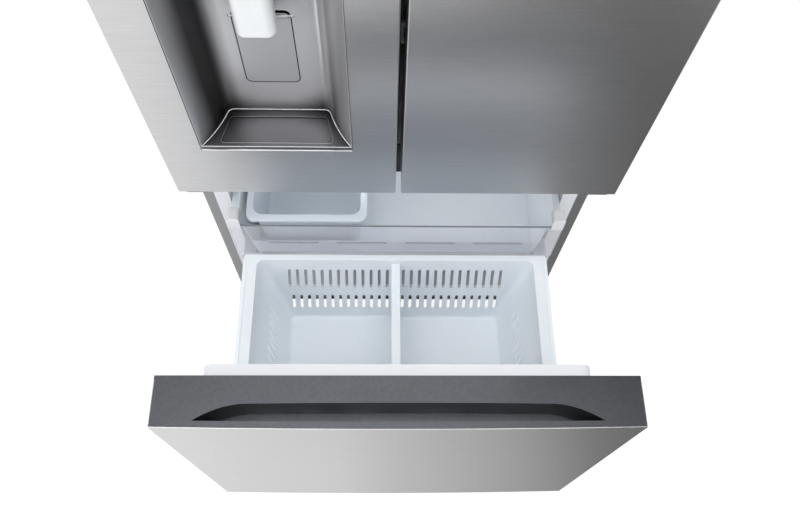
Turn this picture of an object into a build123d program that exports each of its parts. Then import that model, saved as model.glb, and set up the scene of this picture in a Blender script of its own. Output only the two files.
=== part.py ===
"""Bottom freezer refrigerator with two upper doors, its freezer drawer pulled out.

Millimetres, +Z up, +Y towards the wall. The origin is on the floor, under the middle of the
space that the refrigerator takes with its freezer drawer open.
Depths named "behind the face" are measured back from the front of the closed doors.
"""
from build123d import *
import math
import os

# ---------------------------------------------------------------- overall sizes
WIDTH = 911.0
CASE_DEPTH = 740.0
CASE_TOP = 1755.0
CASE_BOTTOM = 42.0
DOOR_THICK = 98.5
SEAL_SPACE = 10.5
DRAWER_TRAVEL = 494.0
DRAWER_BOW = 4.5
DRAWER_BOTTOM = 50.0
DRAWER_TOP = 765.0
DOOR_GAP = 11.0
DOOR_LIFT = 10.0
DOOR_BELOW_TOP = 5.0

# ---------------------------------------------------------------- sheets, walls and clearances
SHEET = 1.0
SKIN = 1.2
LINER = 2.0
FLANGE = 24.5
SIDE_WALL = 58.5
TOP_WALL = 60.0
BACK_WALL = 60.0
FLOOR_WALL = 63.0
CLEAR = 0.3
RUN = 0.1
WALL = 3.0
REAR_INSET = 4.0

# ---------------------------------------------------------------- cabinet
CROSS_HEIGHT = 101.0
CROSS_OVERLAP = 20.0
BASE_PLATE = 1.5
MACHINE_DEPTH = 235.0
MACHINE_HEIGHT = 248.0
MACHINE_PAD = 7.0
STEP_WALL = 52.0
CHANNEL_INSET = 55.5
CHANNEL_WIDTH = 44.0
CHANNEL_DROP = 28.0
CHANNEL_SHEET = 2.0
GRILLE_THICK = 6.0
GRILLE_HEIGHT = 38.0
GRILLE_SLOTS = 24
GRILLE_OVERLAP = 6.0
GRILLE_INSET = 15.0
GRILLE_MARGIN = 45.0
GRILLE_RIM = 7.0
LOUVRE_ROWS = 8
LOUVRE_COLUMNS = 4
LOUVRE_PITCH = 120.0
LOUVRE_LONG = 100.0
LOUVRE_TALL = 8.0
LOUVRE_INSET = 95.5
INLET_INSET = 85.5
INLET_ABOVE = 40.0
INLET_RADIUS = 13.0
INLET_BORE = 7.0
INLET_LONG = 20.0
UPPER_RIB_BELOW = 118.0
UPPER_RIB_TALL = 14.0
UPPER_RIB_OUT = 19.0
UPPER_RIB_SHORT = 80.0
LEDGE_OUT = 11.5
LEDGE_TALL = 8.0

# ---------------------------------------------------------------- feet and rollers
LEG_SETBACK = 41.0
FOOT_RADIUS = 22.0
FOOT_TALL = 9.0
FOOT_BEVEL = 2.0
STEM_RADIUS = 6.0
STEM_SHORT = 0.5
NUT_TALL = 14.0
NUT_WALL = 6.0
ROLLER_RADIUS = 16.0
ROLLER_WIDTH = 20.0
ROLLER_ROUND = 2.5
ROLLER_BOSS = 3.0
AXLE_RADIUS = 4.0
ROLLER_FROM_BACK = 50.0

# ---------------------------------------------------------------- machine room
COMPRESSOR_INSET = 205.5
COMPRESSOR_RADIUS = 74.0
COMPRESSOR_TALL = 165.0
COMPRESSOR_LIFT = 14.0
COMPRESSOR_ROUND = 28.0
COMPRESSOR_PLATE = 7.0
COMPRESSOR_PLATE_HALF = 60.0
SEAM_OUT = 4.0
SEAM_TALL = 5.0
MOUNT_OUT = 14.0
MOUNT_HALF = 46.0
MOUNT_RADIUS = 11.0
MOUNT_TALL = 20.0
PIPE_RADIUS = 5.0
PIPE_OUT = 30.0
PIPE_HEIGHT_SHARE = 0.7
COIL_TUBE = 3.0
COIL_PASSES = 9
COIL_INSET = 55.5
COIL_LONG = 250.0
COIL_PITCH = 18.0
COIL_BOTTOM = 86.0
COIL_BEND_SHARE = 0.45
COIL_BRACKET_INSET = 40.0
COIL_BRACKET_HALF = 20.0
COIL_BRACKET_THICK = 2.0
COIL_BRACKET_ABOVE = 8.0
FAN_FROM_COIL = 90.0
CONDENSER_FAN_RADIUS = 60.0
CONDENSER_HUB = (18.0, 14.0)
CONDENSER_BLADE_ANGLE = 28.0
CONDENSER_SHAFT = 30.0
CONDENSER_SHAFT_OUT = 18.0
BLADE_THICK = 2.0
SHROUD_THICK = 22.0
SHROUD_CLEAR = 2.0
SHROUD_HOLE_CLEAR = 6.0
BRIDGE_GAP = 4.0
BRIDGE_THICK = 8.0
BRIDGE_HALF = 9.0
BRIDGE_FOOT = 10.0
BRIDGE_REACH = 20.0
MOTOR_RADIUS = 24.0
MOTOR_LONG = 34.0
MOTOR_BORE = 24.0
FAN_BLADES = 5
PAN_TALL = 24.0
PAN_INSET = 24.0
PAN_LEFT = 28.0
PAN_RIGHT = 20.0

# ---------------------------------------------------------------- cold side of the freezer
COVER_INSET = 97.0
COVER_DEEP = 89.0
COVER_PLAY = 2.0
COVER_SLOTS = 8
COVER_SLOT_PITCH = 60.0
COVER_SLOT_LONG = 40.0
COVER_SLOT_TALL = 8.0
COVER_SLOT_INSET = 20.0
COVER_FAN_BELOW = 80.0
COVER_BOSS_RADIUS = 20.0
COVER_BOSS_LONG = 12.0
EVAPORATOR_INSET = 50.0
EVAPORATOR_FINS = 25
EVAPORATOR_DEEP = 42.0
EVAPORATOR_ABOVE = 20.0
EVAPORATOR_TALL = 140.0
EVAPORATOR_FIN_THICK = 1.2
EVAPORATOR_TUBE = 5.0
EVAPORATOR_TUBE_INSET = 35.0
EVAPORATOR_TUBE_OUT = 12.0
EVAPORATOR_FAN_RADIUS = 46.0
EVAPORATOR_HUB = (14.0, 10.0)
EVAPORATOR_BLADE_ANGLE = 26.0
EVAPORATOR_FAN_BEHIND = 26.0
EVAPORATOR_SHAFT = 18.0
EVAPORATOR_SHAFT_OUT = 12.0
ICE_MAKER_TALL = 62.0
ICE_MAKER_LONG = 230.0
ICE_MAKER_FRONT = 250.0
ICE_GEARBOX_INSET = 10.0
ICE_GEARBOX_WIDE = 50.0
ICE_MOULD_TALL = 38.0
ICE_MOULD_FRONT = 20.0
ICE_MOULD_BACK = 90.0
ICE_MOULD_INSET = 30.0
ICE_GROOVE_RADIUS = 26.0
ICE_GROOVE_WALL = 4.0
ICE_SHAFT_RADIUS = 4.0
ICE_FINGERS = 7
ICE_FINGER_PITCH = 18.0
ICE_FINGER_FIRST = 18.0
ICE_FINGER_LONG = 30.0
ICE_FINGER_THICK = 4.0
ICE_HANGER_THICK = 8.0
ICE_HANGER_LAP = 2.0

# ---------------------------------------------------------------- fresh food space
SHELF_FIRST = 228.0
SHELF_STEP = 220.0
SHELF_SETBACK = 105.0
SHELF_PLAY = 2.0
SHELF_MIDDLE = 4.0
SHELF_FRAME = 14.0
SHELF_TALL = 12.0
GLASS = 4.0
CRISPER_PROUD = 9.0
CRISPER_SIDE = 90.5
CRISPER_LONG = 480.0
CRISPER_TALL = 180.0
CRISPER_RIM = 8.0
CRISPER_RIM_TALL = 4.0
CRISPER_MIDDLE = 8.0
CRISPER_LEDGE_TALL = 6.0
CRISPER_LEDGE_PLAY = 1.0
CRISPER_FRONT_THICK = 5.0
CRISPER_FRONT_ABOVE = 10.0
CRISPER_FRONT_ROUND = 6.0
CRISPER_FRONT_GAP = 4.0
CRISPER_RIM_START = 20.0
CRISPER_CORNER = 22.0
CRISPER_FOOT = 10.0
CRISPER_LIFT = 6.0
CRISPER_LID_ABOVE = 29.0
LAMP_HALF = 120.0
LAMP_TALL = 12.0
LAMP_BEHIND = 90.0
LAMP_DEEP = 100.0
LAMP_ROUND = 12.0

# ---------------------------------------------------------------- doors and their hinges
PIN_INSET = 22.0
PIN_BEHIND = 60.0
PIN_RADIUS = 6.0
HINGE_PLATE = 4.0
HINGE_INNER = 24.0
HINGE_OUTER = 14.0
HINGE_FRONT = 18.0
HINGE_LONG = 110.0
HINGE_PIN_END = 5.0
HINGE_COVER_TALL = 26.0
COVER_INNER = 38.0
COVER_OUTER = 19.0
COVER_FRONT = 24.0
COVER_LONG = 120.0
COVER_ROUND = 8.0
COVER_TAB = 11.0
COVER_TAB_THICK = 7.0
COVER_TAB_INSET = 1.0
CENTRE_HINGE_OUTER = 16.0
CENTRE_HINGE_FRONT = 20.0
CENTRE_HINGE_ABOVE = 1.5
CENTRE_FLANGE_DOWN = 8.0
CENTRE_FLANGE_UP = 9.0
CENTRE_PIN_SUNK = 1.0
COLLAR_WALL = 5.0
DOOR_CAP = 24.0
DOOR_CAP_FLOOR = 3.0
DOOR_ROUND = 3.0
DOOR_BACK = 8.0
GASKET_INSET = 20.0
GASKET_WIDTH = 16.0
GASKET_FROM_GAP = 8.0
GASKET_FROM_END = 10.0
DYKE_DEEP = 51.5
DYKE_WIDE = 20.0
DYKE_OUTER = 70.5
DYKE_INNER = 95.0
DYKE_BELOW = 13.0
DYKE_BELOW_BIN = 10.0
BIN_DEEP = 88.0
BIN_TALL = 92.0
DOOR_BIN_ROUND = 14.0
LEFT_BIN_COUNT = 2
LEFT_BIN_STEP = 134.0
LEFT_BIN_ABOVE = 4.0
RIGHT_BIN_COUNT = 3
RIGHT_BIN_STEP = 200.0
RIGHT_BIN_BELOW = 222.0

# ---------------------------------------------------------------- dispenser
RECESS_FROM_SIDE = 82.0
RECESS_FROM_GAP = 83.0
RECESS_BEHIND = 9.5
RECESS_BACK_INSET = 44.0
RECESS_ROUND = 16.0
RECESS_BEND_ACROSS = 0.53
RECESS_BEND_DEEP = 0.4
RECESS_FLOOR = 3.0
RECESS_EDGE = 2.0
RECESS_SILL = 918.0
HOUSING_BELOW_TOP = 310.0
PANEL_TALL = 105.0
PANEL_INSET = 4.0
PANEL_MARGIN = 5.0
PANEL_THICK = 3.0
HOUSING_WALL = 3.0
HOUSING_BORDER = 6.5
HOUSING_BELOW_SILL = 12.0
HOUSING_ABOVE = 6.0
BULGE = 22.5
BULGE_ABOVE = 113.0
TRAY_THICK = 7.4
DISH_BEHIND = (9.0, 70.0)
DISH_HALF = (107.0, 92.0)
DISH_SUNK = 2.0
DISH_ROUND = 7.0
TRAY_FRONT_INSET = 0.5
PADDLE_WIDE = 97.0
PADDLE_ABOVE_SILL = 86.0
PADDLE_TALL = 160.0
PADDLE_THICK = 4.0
PADDLE_ROUND = 11.0
PADDLE_GAP = 1.2
PADDLE_PIN_BELOW = 6.0
PADDLE_PIN_OUT = 5.0
PADDLE_BARREL_WALL = 1.5
PADDLE_HEADROOM = 6.0
POCKET_WALL = 7.0
PADDLE_SWING = 5.0
NOZZLE_WIDE = 64.0
NOZZLE_DEEP = 44.0
NOZZLE_CORNER = 16.0
NOZZLE_TIP = 5.0
NOZZLE_LONG = 161.0
NOZZLE_BEHIND = 45.0
NOZZLE_BORE = 12.0
NOZZLE_BORE_LONG = 60.0

# ---------------------------------------------------------------- centre flap on the left door
FLAP_THICK = 16.0
FLAP_WIDE = 83.0
FLAP_EDGE = -1.0
FLAP_PIN = 3.0
FLAP_ROUND = 3.0
FLAP_PIN_INSET = 4.0
LUG_GAP = 1.0
LUG_HALF = 10.0
LUG_BEHIND = 9.0
FLAP_ABOVE_FLOOR = 4.0
FLAP_BELOW_TOP = 5.0
LUG_TALL = 12.0

# ---------------------------------------------------------------- freezer drawer
GRIP_DEEP = 75.0
GRIP_FRONT = 10.2
GRIP_BACK = 45.9
GRIP_TIP_INSET = 77.5
GRIP_SHOULDER_INSET = 164.5
GRIP_TIP_BEHIND = 2.0
GRIP_SHOULDER_AHEAD = 1.9
GRIP_SWEEP = (2.0, 5.5)
GRIP_WALL = 2.5
CAP_TALL = 20.0
DRAWER_DYKE = 50.0
DRAWER_DYKE_WALL = 30.0
DRAWER_DYKE_CLEAR = 6.0
DRAWER_DYKE_ROUND = 24.0
DRAWER_DYKE_HEADROOM = 1.0
DRAWER_SEAL_INSET = 11.5
DRAWER_SEAL_ABOVE = 12.0
DRAWER_SEAL_BELOW = 10.0
RAIL_DROP = 11.0
RAIL_TALL = 40.0
RAIL_INNER = 19.0
RAIL_MIDDLE = 11.0
RAIL_OUTER = 12.6
RAIL_LONG = 485.0
RAIL_FRONT_CLEAR = 3.0
RAIL_GAP = 0.4
RAIL_STEP = 4.0
RAIL_SEAT = 6.0
RAIL_BELOW_SEAT = 1.0
RAIL_GROOVE = 1.5
RAIL_GROOVE_HALF = 6.0

# ---------------------------------------------------------------- freezer basket
BASKET_LIFT = 75.0
BASKET_RIM_TALL = 4.0
BASKET_RIM_INSET = 15.0
BASKET_SIDE_CLEAR = 2.6
BASKET_SIDE_SLANT = 58.0
BASKET_FRONT_CLEAR = 3.5
BASKET_FRONT_LEDGE = 12.0
BASKET_FRONT_SLANT = 30.0
BASKET_BACK_CLEAR = 49.0
BASKET_BACK_SLANT = 42.0
BASKET_CORNER = 20.0
BASKET_FOOT = 10.0
BASKET_RIM_BACK = 16.0
BASKET_RIM_ROUND = 14.0
BASKET_GROOVE = (9.0, 12.0)
BASKET_GROOVE_SHORT = 10.0
BASKET_GROOVE_SUNK = 1.5
SLOT_PITCH = 21.2
SLOT_WIDE = 7.7
SLOT_FIRST = 20.8
SLOT_MARGIN = 8.0
SLOT_FAN = 0.0145
SLOT_ROWS_BELOW = ((121.5, 40.5), (220.5, 155.5))
SLIT_COUNT = 9
SLIT_PITCH = 22.3
SLIT_LONG = 54.0
SLIT_WIDE = 6.0
SLIT_ANGLE = 72.0
SLIT_ABOVE_FLOOR = 132.0
DIVIDER_BELOW = 14.0
DIVIDER_RIM = 21.5
DIVIDER_RIM_TALL = 8.0
DIVIDER_THICK = 4.0

# ---------------------------------------------------------------- upper freezer drawer and ice bin
UPPER_TRAVEL = 126.0
UPPER_FRONT_CLEAR = 3.5
UPPER_LONG = 454.0
UPPER_TALL = 148.0
UPPER_RIM_ABOVE = 26.0
UPPER_INSET = 25.0
UPPER_SIDE_SLANT = 24.0
UPPER_CORNER = 14.0
UPPER_FOOT = 8.0
UPPER_FRONT_SLANT = 4.0
UPPER_BACK_SLANT = 16.0
UPPER_SLITS = 3
UPPER_SLIT_PITCH = 16.0
UPPER_SLIT_LONG = 30.0
UPPER_SLIT_WIDE = 5.0
UPPER_SLIT_BEHIND = 250.0
UPPER_SLIT_ABOVE = 62.0
UPPER_RIM_INSET = 5.0
UPPER_RIM_THICK = 4.0
UPPER_CAP_DEEP = 32.0
UPPER_CAP_TALL = 44.0
UPPER_CAP_ROUND = 6.0
WINDOW_ABOVE_FLOOR = 60.0
WINDOW_BELOW_RIM = 9.0
WINDOW_INSET = 8.0
NOTCH_PITCH = 154.0
NOTCH_WIDE = 112.0
NOTCH_TALL = 12.0
NOTCH_COUNT = 4
NOTCH_BEVEL = 9.0
BIN_INSET = 21.0
BIN_WIDE = 281.0
BIN_SETBACK = 10.0
BIN_LONG = 372.0
BIN_PROUD = 3.0
BIN_LEDGE = 12.0
BIN_CORNER = 26.0
BIN_FOOT = 12.0
BIN_SIDE_SLANT = 10.0
BIN_END_SLANT = 8.0
BIN_RIM_TALL = 10.0
BIN_RIM_ROUND = 18.0

# ---------------------------------------------------------------- places worked out from the sizes
HALF = WIDTH / 2
FACE = (DRAWER_TRAVEL + DRAWER_BOW - DOOR_THICK - SEAL_SPACE - CASE_DEPTH) / 2
SEAL = DOOR_THICK + SEAL_SPACE
REAR = SEAL + CASE_DEPTH
BACK = REAR - REAR_INSET
CAVITY = HALF - SIDE_WALL
DOOR_BOTTOM = DRAWER_TOP + DOOR_LIFT
DOOR_TOP = CASE_TOP - DOOR_BELOW_TOP
CROSS_TOP = DOOR_BOTTOM + CROSS_OVERLAP
CROSS_BOTTOM = CROSS_TOP - CROSS_HEIGHT
FRESH_FLOOR = CROSS_TOP + LINER
FRESH_TOP = CASE_TOP - TOP_WALL
CAVITY_BACK = REAR - BACK_WALL
FREEZER_TOP = CROSS_BOTTOM - LINER
FREEZER_FLOOR = CASE_BOTTOM + FLOOR_WALL
MACHINE_FRONT = REAR - MACHINE_DEPTH
MACHINE_TOP = CASE_BOTTOM + MACHINE_HEIGHT
MACHINE_HALF = HALF - SHEET - MACHINE_PAD
STEP_Z = MACHINE_TOP + BACK_WALL
MACHINE_MIDDLE = REAR - MACHINE_DEPTH / 2
MACHINE_MIDDLE_Z = CASE_BOTTOM + BASE_PLATE + MACHINE_HEIGHT / 2
STEP_BACK = MACHINE_FRONT - STEP_WALL - LINER
PLATE_TOP = CASE_BOTTOM + BASE_PLATE
CHANNEL_X = HALF - CHANNEL_INSET
COMPRESSOR_X = HALF - COMPRESSOR_INSET
COIL_LEFT = COIL_INSET - HALF
COIL_RIGHT = COIL_LEFT + COIL_LONG
CONDENSER_FAN_X = COIL_RIGHT + FAN_FROM_COIL
COVER_HALF = CAVITY - COVER_INSET
EVAPORATOR_HALF = COVER_HALF - EVAPORATOR_INSET
EVAPORATOR_FAN_Z = FREEZER_TOP - COVER_PLAY - COVER_FAN_BELOW
SHELF_FRONT = SEAL + SHELF_SETBACK
CRISPER_FRONT = SHELF_FRONT - CRISPER_PROUD
CRISPER_LOW = FRESH_FLOOR + CRISPER_LIFT
CRISPER_TOP = CRISPER_LOW + CRISPER_TALL
CRISPER_LID_Z = CRISPER_TOP + CRISPER_LID_ABOVE
SHELF_LEVELS = (CRISPER_LID_Z + SHELF_FIRST, CRISPER_LID_Z + SHELF_FIRST + SHELF_STEP)
PIN_X = HALF - PIN_INSET
SKIN_DEEP = DOOR_THICK - DOOR_BACK
DYKE_TOP = FRESH_TOP - DYKE_BELOW
RECESS_LEFT = RECESS_FROM_SIDE - HALF
RECESS_RIGHT = -DOOR_GAP / 2 - RECESS_FROM_GAP
RECESS_DEEP = DOOR_THICK - RECESS_BEHIND
RECESS_MID = (RECESS_LEFT + RECESS_RIGHT) / 2
HOUSING_DEEP = RECESS_DEEP + HOUSING_WALL
HOUSING_TOP = DOOR_TOP - HOUSING_BELOW_TOP
RECESS_TOP = HOUSING_TOP - PANEL_TALL
PADDLE_BOTTOM = RECESS_SILL + PADDLE_ABOVE_SILL
PADDLE_PIN_Z = PADDLE_BOTTOM + PADDLE_TALL - PADDLE_PIN_BELOW
NOZZLE_BOTTOM = RECESS_TOP - NOZZLE_LONG
LEFT_BINS = [HOUSING_TOP + LEFT_BIN_ABOVE + n * LEFT_BIN_STEP for n in range(LEFT_BIN_COUNT)]
RIGHT_BINS = [DYKE_TOP - RIGHT_BIN_BELOW - n * RIGHT_BIN_STEP for n in range(RIGHT_BIN_COUNT)][::-1]
FLAP_FRONT = SEAL
FLAP_AXIS_X = FLAP_EDGE - FLAP_WIDE + FLAP_PIN_INSET
FLAP_AXIS_BEHIND = FLAP_FRONT + FLAP_THICK / 2
UPPER_RIB_Z = FREEZER_TOP - UPPER_RIB_BELOW
UPPER_FRONT = DOOR_THICK + DRAWER_DYKE + UPPER_FRONT_CLEAR
UPPER_TRAY_FRONT = UPPER_FRONT + WALL + CLEAR
UPPER_RIM = UPPER_RIB_Z + UPPER_RIM_ABOVE
UPPER_RUNNER = UPPER_RIB_Z + CLEAR
UPPER_CAP_LOW = UPPER_RUNNER + UPPER_RIM_THICK
UPPER_FLOOR = UPPER_RIM - UPPER_TALL
UPPER_HALF = CAVITY - UPPER_INSET
UPPER_FLOOR_HALF = UPPER_HALF - UPPER_SIDE_SLANT
WINDOW_BOTTOM = UPPER_FLOOR + WINDOW_ABOVE_FLOOR
WINDOW_TOP = UPPER_RIM - WINDOW_BELOW_RIM
BIN_LEFT = BIN_INSET - UPPER_HALF
BIN_RIGHT = BIN_LEFT + BIN_WIDE
BIN_FRONT = UPPER_FRONT + BIN_SETBACK
BIN_TOP = UPPER_RIM + BIN_PROUD
RAIL_TOP = UPPER_FLOOR - RAIL_DROP
RAIL_START = DOOR_THICK + DRAWER_DYKE + RAIL_FRONT_CLEAR
RAIL_OUTER_X = CAVITY - RAIL_OUTER
RAIL_MIDDLE_X = RAIL_OUTER_X - RAIL_GAP - RAIL_MIDDLE
RAIL_INNER_X = RAIL_MIDDLE_X - RAIL_GAP - RAIL_INNER
BASKET_RIM = RAIL_TOP + BASKET_RIM_TALL
BASKET_FLOOR = FREEZER_FLOOR + BASKET_LIFT
BASKET_RIM_HALF = CAVITY - BASKET_RIM_INSET
BASKET_TOP_HALF = RAIL_INNER_X - BASKET_SIDE_CLEAR
BASKET_FLOOR_HALF = BASKET_TOP_HALF - BASKET_SIDE_SLANT
BASKET_FRONT = DOOR_THICK + DRAWER_DYKE + BASKET_FRONT_CLEAR
BASKET_BACK = STEP_BACK - BASKET_BACK_CLEAR
DIVIDER_TOP = BASKET_RIM - DIVIDER_BELOW
GRIP_TIP = HALF - GRIP_TIP_INSET
GRIP_SHOULDER = HALF - GRIP_SHOULDER_INSET


# ---------------------------------------------------------------- small helpers
def block(x, y, z):
    """A box between three pairs of limits, its depths behind the door face."""
    size = Box(x[1] - x[0], y[1] - y[0], z[1] - z[0])
    return Pos((x[0] + x[1]) / 2, FACE + (y[0] + y[1]) / 2, (z[0] + z[1]) / 2) * size


def wide(half, y, z):
    """A box as wide to the left as to the right."""
    return block((-half, half), y, z)


def both(part):
    """A piece and its mirror image on the other side."""
    return part + mirror(part, about=Plane.YZ)


def rod(radius, start, along, length):
    """A round bar from a point, its depth behind the door face, along X, Y or Z."""
    direction = {"X": (1, 0, 0), "Y": (0, 1, 0), "Z": (0, 0, 1)}[along]
    plane = Plane(origin=(start[0], FACE + start[1], start[2]), z_dir=direction)
    return plane * Cylinder(radius, length, align=(Align.CENTER, Align.CENTER, Align.MIN))


def drawn_in(limits, wall):
    """Both limits moved in by a wall's thickness."""
    return (limits[0] + wall, limits[1] - wall)


def tub(z, low_x, top_x, low_y, top_y, corner, foot):
    """A solid with four sloping sides, rounded upright corners and a rounded bottom edge."""
    side = [(low_x[0], z[0]), (low_x[1], z[0]), (top_x[1], z[1]), (top_x[0], z[1])]
    end = [(low_y[0], z[0]), (low_y[1], z[0]), (top_y[1], z[1]), (top_y[0], z[1])]
    across = extrude(Plane.XZ * Polygon(*side, align=None), WIDTH + DRAWER_TRAVEL, both=True)
    along = extrude(Plane.YZ * Polygon(*end, align=None), WIDTH, both=True)
    body = across & (Pos(0, FACE, 0) * along)
    tall = z[1] - z[0]
    upright = [edge for edge in body.edges() if abs((edge @ 1).Z - (edge @ 0).Z) > tall / 2]
    body = fillet(upright, corner)
    return fillet(body.faces().sort_by(Axis.Z)[0].edges(), foot)


def tub_hollow(z, low_x, top_x, low_y, top_y, corner, foot):
    """The room inside a tub of the same sizes, a wall's thickness smaller."""
    limits = [drawn_in(pair, WALL) for pair in (low_x, top_x, low_y, top_y)]
    return tub((z[0] + WALL, z[1]), *limits, corner - WALL, foot)


def bow_face(inset, back):
    """The drawer front seen from above: a bowed front line and straight sides."""
    left = (-HALF + inset, FACE + inset)
    right = (HALF - inset, FACE + inset)
    middle = (0, FACE - DRAWER_BOW + inset)
    arc = ThreePointArc(left, middle, right)
    rest = Polyline(right, (HALF - inset, FACE + back), (-HALF + inset, FACE + back), left)
    return make_face([*arc.edges(), *rest.edges()])


def prism(face, low, high):
    """A face drawn on the floor, raised between two heights."""
    return extrude(Pos(0, 0, low) * face, high - low, dir=(0, 0, 1))


def opened(part):
    """The drawer's pieces stand where the open drawer has them."""
    return Pos(0, -DRAWER_TRAVEL, 0) * part


def upper_opened(part):
    return Pos(0, -UPPER_TRAVEL, 0) * part


# ---------------------------------------------------------------- cabinet shell
def make_wrapper():
    """Folded steel: two sides and the top, with a flange turned in at the front."""
    outside = wide(HALF, (SEAL, REAR), (CASE_BOTTOM, CASE_TOP))
    hollow = wide(HALF - SHEET, (SEAL + SHEET, REAR), (CASE_BOTTOM, CASE_TOP - SHEET))
    mouth = wide(HALF - FLANGE, (SEAL, SEAL + SHEET), (CASE_BOTTOM, CASE_TOP - FLANGE))
    return outside - hollow - mouth


def freezer_space(grow):
    """The freezer's hollow, stepped over the machine room and grown by a sheet."""
    half = CAVITY + grow
    low = wide(half, (SEAL, STEP_BACK + grow), (FREEZER_FLOOR - grow, FREEZER_TOP + grow))
    high = wide(half, (SEAL, CAVITY_BACK + grow), (STEP_Z - grow, FREEZER_TOP + grow))
    return low + high


def fresh_space(grow):
    """The upper compartment's hollow, grown by a sheet."""
    return wide(CAVITY + grow, (SEAL, CAVITY_BACK + grow), (FRESH_FLOOR - grow, FRESH_TOP + grow))


def front_lip(low, high):
    """The liner's rim, which meets the cabinet flange."""
    return wide(HALF - FLANGE, (SEAL, SEAL + LINER), (low, high))


def make_foam():
    """Foam between the steel and the liners."""
    body = wide(HALF - SHEET, (SEAL + SHEET, BACK - SHEET), (PLATE_TOP, CASE_TOP - SHEET))
    body -= freezer_space(LINER)
    body -= fresh_space(LINER)
    body -= front_lip(CROSS_TOP, CASE_TOP - FLANGE)
    body -= front_lip(CASE_BOTTOM, CROSS_BOTTOM)
    body -= make_crossbar()
    machine = wide(MACHINE_HALF, (MACHINE_FRONT, REAR), (CASE_BOTTOM, MACHINE_TOP))
    return body - machine


def make_fresh_liner():
    """White moulded shell of the upper compartment, with ledges for the shelves."""
    shell = fresh_space(LINER) + front_lip(CROSS_TOP, CASE_TOP - FLANGE) - fresh_space(0)
    for level in SHELF_LEVELS:
        ledge_z = (level - LEDGE_TALL, level)
        shell += both(block((CAVITY - LEDGE_OUT, CAVITY), (SHELF_FRONT, CAVITY_BACK), ledge_z))
    return shell


def make_freezer_liner():
    """White moulded shell of the freezer, with a rib at each side for the upper drawer."""
    shell = freezer_space(LINER) + front_lip(CASE_BOTTOM + BASE_PLATE, CROSS_BOTTOM) - freezer_space(0)
    rib_z = (UPPER_RIB_Z - UPPER_RIB_TALL, UPPER_RIB_Z)
    run = (UPPER_TRAY_FRONT + CLEAR, CAVITY_BACK - UPPER_RIB_SHORT)
    return shell + both(block((CAVITY - UPPER_RIB_OUT, CAVITY), run, rib_z))


def make_crossbar():
    """Steel bar between the two compartments, let in behind the cabinet flange."""
    heights = (CROSS_BOTTOM, CROSS_TOP)
    front = wide(HALF - FLANGE, (SEAL, SEAL + SHEET), heights)
    behind = wide(HALF - SHEET, (SEAL + SHEET, SEAL + 2 * SHEET), heights)
    return front + behind


def make_rear_panel():
    return wide(HALF - SHEET, (BACK - SHEET, BACK), (MACHINE_TOP, CASE_TOP - SHEET))


def make_machine_cover():
    """Rear cover with rows of louvres and the boss where the mains lead goes in."""
    heights = (PLATE_TOP, MACHINE_TOP - CLEAR)
    panel = wide(HALF - SHEET, (BACK - SHEET, BACK), heights)
    pitch = (heights[1] - heights[0]) / (LOUVRE_ROWS + 1)
    cuts = Part()
    for row in range(LOUVRE_ROWS):
        z = heights[0] + pitch * (row + 1)
        for column in range(LOUVRE_COLUMNS):
            left = LOUVRE_INSET - HALF + column * LOUVRE_PITCH
            slot_z = (z - LOUVRE_TALL / 2, z + LOUVRE_TALL / 2)
            cuts += block((left, left + LOUVRE_LONG), (BACK - SHEET, BACK), slot_z)
    inlet = (HALF - INLET_INSET, BACK - INLET_LONG, heights[0] + INLET_ABOVE)
    boss = rod(INLET_RADIUS, inlet, "Y", INLET_LONG)
    return panel - cuts + boss - rod(INLET_BORE, inlet, "Y", INLET_LONG)


# ---------------------------------------------------------------- base, feet and rollers
def make_base_frame():
    """Floor plate with two channels below it, nuts for the legs and axles for the rollers."""
    plate = wide(HALF - SHEET, (SEAL + SHEET, BACK - SHEET), (CASE_BOTTOM, PLATE_TOP))
    inner = CHANNEL_X - CHANNEL_WIDTH / 2
    outer = CHANNEL_X + CHANNEL_WIDTH / 2
    low = CASE_BOTTOM - CHANNEL_DROP
    run = (SEAL + SHEET + CHANNEL_SHEET, BACK - SHEET)
    channel = block((inner, outer), run, (low, CASE_BOTTOM))
    core = (inner + CHANNEL_SHEET, outer - CHANNEL_SHEET)
    channel -= block(core, run, (low, CASE_BOTTOM - CHANNEL_SHEET))
    nut_low = CASE_BOTTOM - CHANNEL_SHEET - NUT_TALL
    leg_y = SEAL + LEG_SETBACK
    channel += rod(STEM_RADIUS + NUT_WALL, (CHANNEL_X, leg_y, nut_low), "Z", NUT_TALL)
    channel -= rod(STEM_RADIUS + RUN, (CHANNEL_X, leg_y, nut_low), "Z", NUT_TALL)
    axle_y = REAR - ROLLER_FROM_BACK
    channel += rod(AXLE_RADIUS, (inner, axle_y, ROLLER_RADIUS), "X", CHANNEL_WIDTH)
    boss = ROLLER_WIDTH / 2 + CLEAR
    length = CHANNEL_WIDTH / 2 - boss
    channel += rod(AXLE_RADIUS + ROLLER_BOSS, (CHANNEL_X + boss, axle_y, ROLLER_RADIUS), "X", length)
    channel += rod(AXLE_RADIUS + ROLLER_BOSS, (inner, axle_y, ROLLER_RADIUS), "X", length)
    cross = wide(outer, (SEAL + SHEET, SEAL + SHEET + CHANNEL_SHEET), (low, CASE_BOTTOM))
    return plate + both(channel) + cross


def make_leg(side):
    """Levelling leg: a foot on a threaded stem, which turns in the frame's nut."""
    x = side * CHANNEL_X
    y = SEAL + LEG_SETBACK
    foot = rod(FOOT_RADIUS, (x, y, 0), "Z", FOOT_TALL)
    foot = chamfer(foot.edges().filter_by(GeomType.CIRCLE).sort_by(Axis.Z)[-1], FOOT_BEVEL)
    tall = CASE_BOTTOM - CHANNEL_SHEET - STEM_SHORT - FOOT_TALL / 2
    return foot + rod(STEM_RADIUS, (x, y, FOOT_TALL / 2), "Z", tall)


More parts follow.
